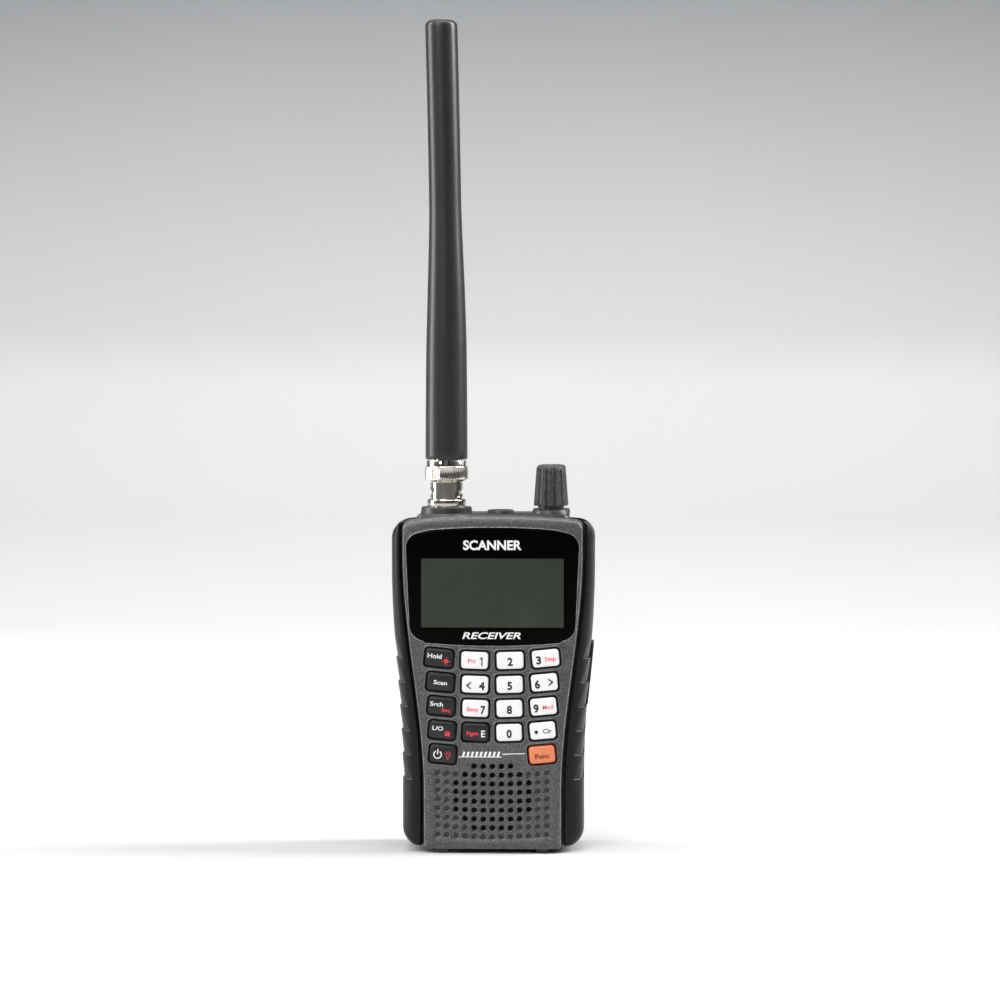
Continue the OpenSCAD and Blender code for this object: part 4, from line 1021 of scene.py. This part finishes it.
def bayonet_cutter(ax, z0):
    stud = z0 + 5.5
    mesh = bpy.data.meshes.new("cutter")
    work = bmesh.new()
    for start in (35, 215):
        for i in range(11):
            turn, z = math.radians(start - 8 * i), stud - 0.16 * i
            place = Matrix.Translation(Vector((ax, 0, z)) * MM) @ Matrix.Rotation(turn, 4, "Z")
            place = place @ Matrix.Translation((0.0052, 0, 0)) @ Matrix.Rotation(math.pi / 2, 4, "Y")
            bmesh.ops.create_cone(work, cap_ends=True, segments=24, radius1=0.00115, radius2=0.00115,
                                  depth=0.002, matrix=place)
        turn = math.radians(start - 80)
        box = Matrix.Translation(Vector((ax, 0, (z0 + 2.3 + stud - 1.6) / 2)) * MM)
        box = box @ Matrix.Rotation(turn, 4, "Z") @ Matrix.Translation((0.0052, 0, 0))
        box = box @ Matrix.Diagonal((0.002, 0.0023, (stud - 1.6 - z0 - 2.0) * MM, 1))
        bmesh.ops.create_cube(work, size=1.0, matrix=box)
    work.to_mesh(mesh)
    work.free()
    return mesh


def sleeve():
    low, high = cad("antenna_sleeve")
    ax, z0, length = antenna_axis(), low.z, high.z - low.z
    r0 = (high.x - low.x) / 2
    tip_r = 5.4
    stations = ((0, 1.0), (12, 0.993), (28, 0.978), (38, 0.962), (45, 0.935), (52, 0.905), (58, 0.88),
                (64, 0.85), (70, 0.82), (76, 0.79), (84, 0.765), (92, tip_r / r0))

    def radius(h):
        for (h0, f0), (h1, f1) in zip(stations, stations[1:]):
            if h <= h1:
                return r0 * (f0 + (f1 - f0) * (h - h0) / (h1 - h0))
        return tip_r

    heights = [0.45] + steps(2, length - 2.2, 70)
    profile = [(4.6, 0.02), (r0 - 0.5, 0.0), (r0 - 0.14, 0.14)]
    profile += [(radius(h), h) for h in heights]
    profile += [(tip_r - 2 + 2 * cos(a), length - 2.1 + 1.95 * sin(a)) for a in steps(15, 85, 6)]
    profile += [(tip_r * 0.4, length - 0.05), (0.3, length)]
    s = Shape()
    rings = []
    for r, h in profile:
        lean = -1.7 * max(0.0, (h - 45) / (length - 45)) ** 1.6
        turns = [2 * math.pi * i / 72 for i in range(72)]
        rings.append(s.ring([(ax + lean + r * math.cos(a), r * math.sin(a), z0 + h) for a in turns]))
    s.stack(rings)
    s.face(rings[-1])
    s.build("sleeve_skin", "whip", "black_rubber", RUBBER, ["antenna_sleeve"], sharp=50)


# ---- CAD nodes that show as they are ----
def dress_cad():
    finish = {"bnc_jack": NICKEL, "bnc_nut": NICKEL, "bnc_insulator": WHITE, "antenna_plug": NICKEL,
              "antenna_gasket": RED_RUBBER, "antenna_coil": COPPER, "phone_jack": BLACK, "usb_jack": STEEL,
              "control_pots": STEEL, "volume_shaft": STEEL, "squelch_shaft": STEEL, "clip_inserts": BRASS,
              "battery_cells": CELL, "battery_contacts": NICKEL, "battery_springs": NICKEL,
              "battery_switch": WHITE,
              "lcd_panel": DISPLAY, "lcd_backlight": WHITE, "keypad_mat": SILICONE, "speaker_frame": BLACK,
              "speaker_cone": BLACK, "speaker_cloth": BLACK, "main_board": BOARD, "rf_board": BOARD,
              "shield_cans": STEEL, "board_connector": BLACK, "board_chips": BLACK, "board_screws": STEEL}
    for name, material in finish.items():
        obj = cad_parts[name]
        obj.data.materials.clear()
        obj.data.materials.append(material)


# ---- Stage ----
def stage():
    s = bpy.data.meshes.new("floor")
    depth = [(-6.0, 0), (0.9, 0), (1.25, 0.05), (1.5, 0.2), (1.6, 0.5), (1.62, 2.6)]
    points = [(x, y, z) for y, z in depth for x in (-6.0, 6.0)]
    s.from_pydata(points, [], [(2 * i, 2 * i + 1, 2 * i + 3, 2 * i + 2) for i in range(len(depth) - 1)])
    for p in s.polygons:
        p.use_smooth = True
    floor = bpy.data.objects.new("floor", s)
    s.materials.append(FLOOR)
    bpy.context.scene.collection.objects.link(floor)
    world = bpy.context.scene.world or bpy.data.worlds.new("world")
    bpy.context.scene.world = world
    world.use_nodes = True
    tree = world.node_tree
    where = node(tree, "ShaderNodeTexCoord")
    axes = node(tree, "ShaderNodeSeparateXYZ")
    tree.links.new(where.outputs["Generated"], axes.inputs[0])
    depth = node(tree, "ShaderNodeMapRange")
    depth.inputs["From Min"].default_value, depth.inputs["From Max"].default_value = -0.9, 0.7
    tree.links.new(axes.outputs["Y"], depth.inputs["Value"])
    shade = ramp(tree, depth.outputs["Result"], grey(0.1), grey(1.0, (0.96, 0.98, 1.0)), (0.1, 0.75))
    back = tree.nodes["Background"]
    tree.links.new(shade.outputs["Color"], back.inputs["Color"])
    back.inputs["Strength"].default_value = 0.5


def lamp(name, place, aim, size, power, tint=(1, 1, 1)):
    light = bpy.data.lights.new(name, "AREA")
    light.shape, light.size, light.size_y = "RECTANGLE", size[0], size[1]
    light.energy, light.color = power, tint
    obj = bpy.data.objects.new(name, light)
    obj.location = place
    obj.rotation_euler = (Vector(aim) - Vector(place)).to_track_quat("-Z", "Y").to_euler()
    bpy.context.scene.collection.objects.link(obj)


def camera():
    data = bpy.data.cameras.new("camera")
    data.lens = 18 / math.tan(math.radians(19.1 / 2))
    obj = bpy.data.objects.new("camera", data)
    azimuth, elevation, reach = math.radians(2.0), math.radians(2.3), 1.0
    aim = Vector((0.002, 0, 0.1172))
    level = math.cos(elevation)
    away = Vector((math.sin(azimuth) * level, -math.cos(azimuth) * level, math.sin(elevation)))
    obj.location = aim + away * reach
    obj.rotation_euler = (-away).to_track_quat("-Z", "Y").to_euler()
    bpy.context.scene.collection.objects.link(obj)
    bpy.context.scene.camera = obj


front_panel()
panel_edge_line()
case_core()
display()
for key in KEY_NODES:
    key_cap(key)
key_legends()
panel_lettering()
grip(1)
grip(-1)
port_cover()
rear_shell()
screw_heads()
battery_door()
top_cover()
knob("volume_knob", "volume_control")
knob("squelch_knob", "squelch_control")
coupling()
sleeve()
dress_cad()
stage()
BODY = (0, 0, 0.13)
lamp("left_strip", (-0.95, 0.0, 0.42), BODY, (0.3, 1.1), 12)
lamp("right_strip", (0.95, 0.1, 0.8), (0, 0, 0.35), (0.3, 0.9), 22)
lamp("front_soft", (-0.5, -1.2, 1.0), BODY, (0.9, 0.9), 13.5)
lamp("top_light", (0.0, -0.25, 1.1), (0, 0, 0.1), (0.9, 0.4), 7)
lamp("wall_light", (-0.3, 0.3, 1.3), (-0.2, 1.6, 0.15), (2.0, 0.8), 11)
camera()
bpy.context.scene.view_settings.view_transform = "Standard"
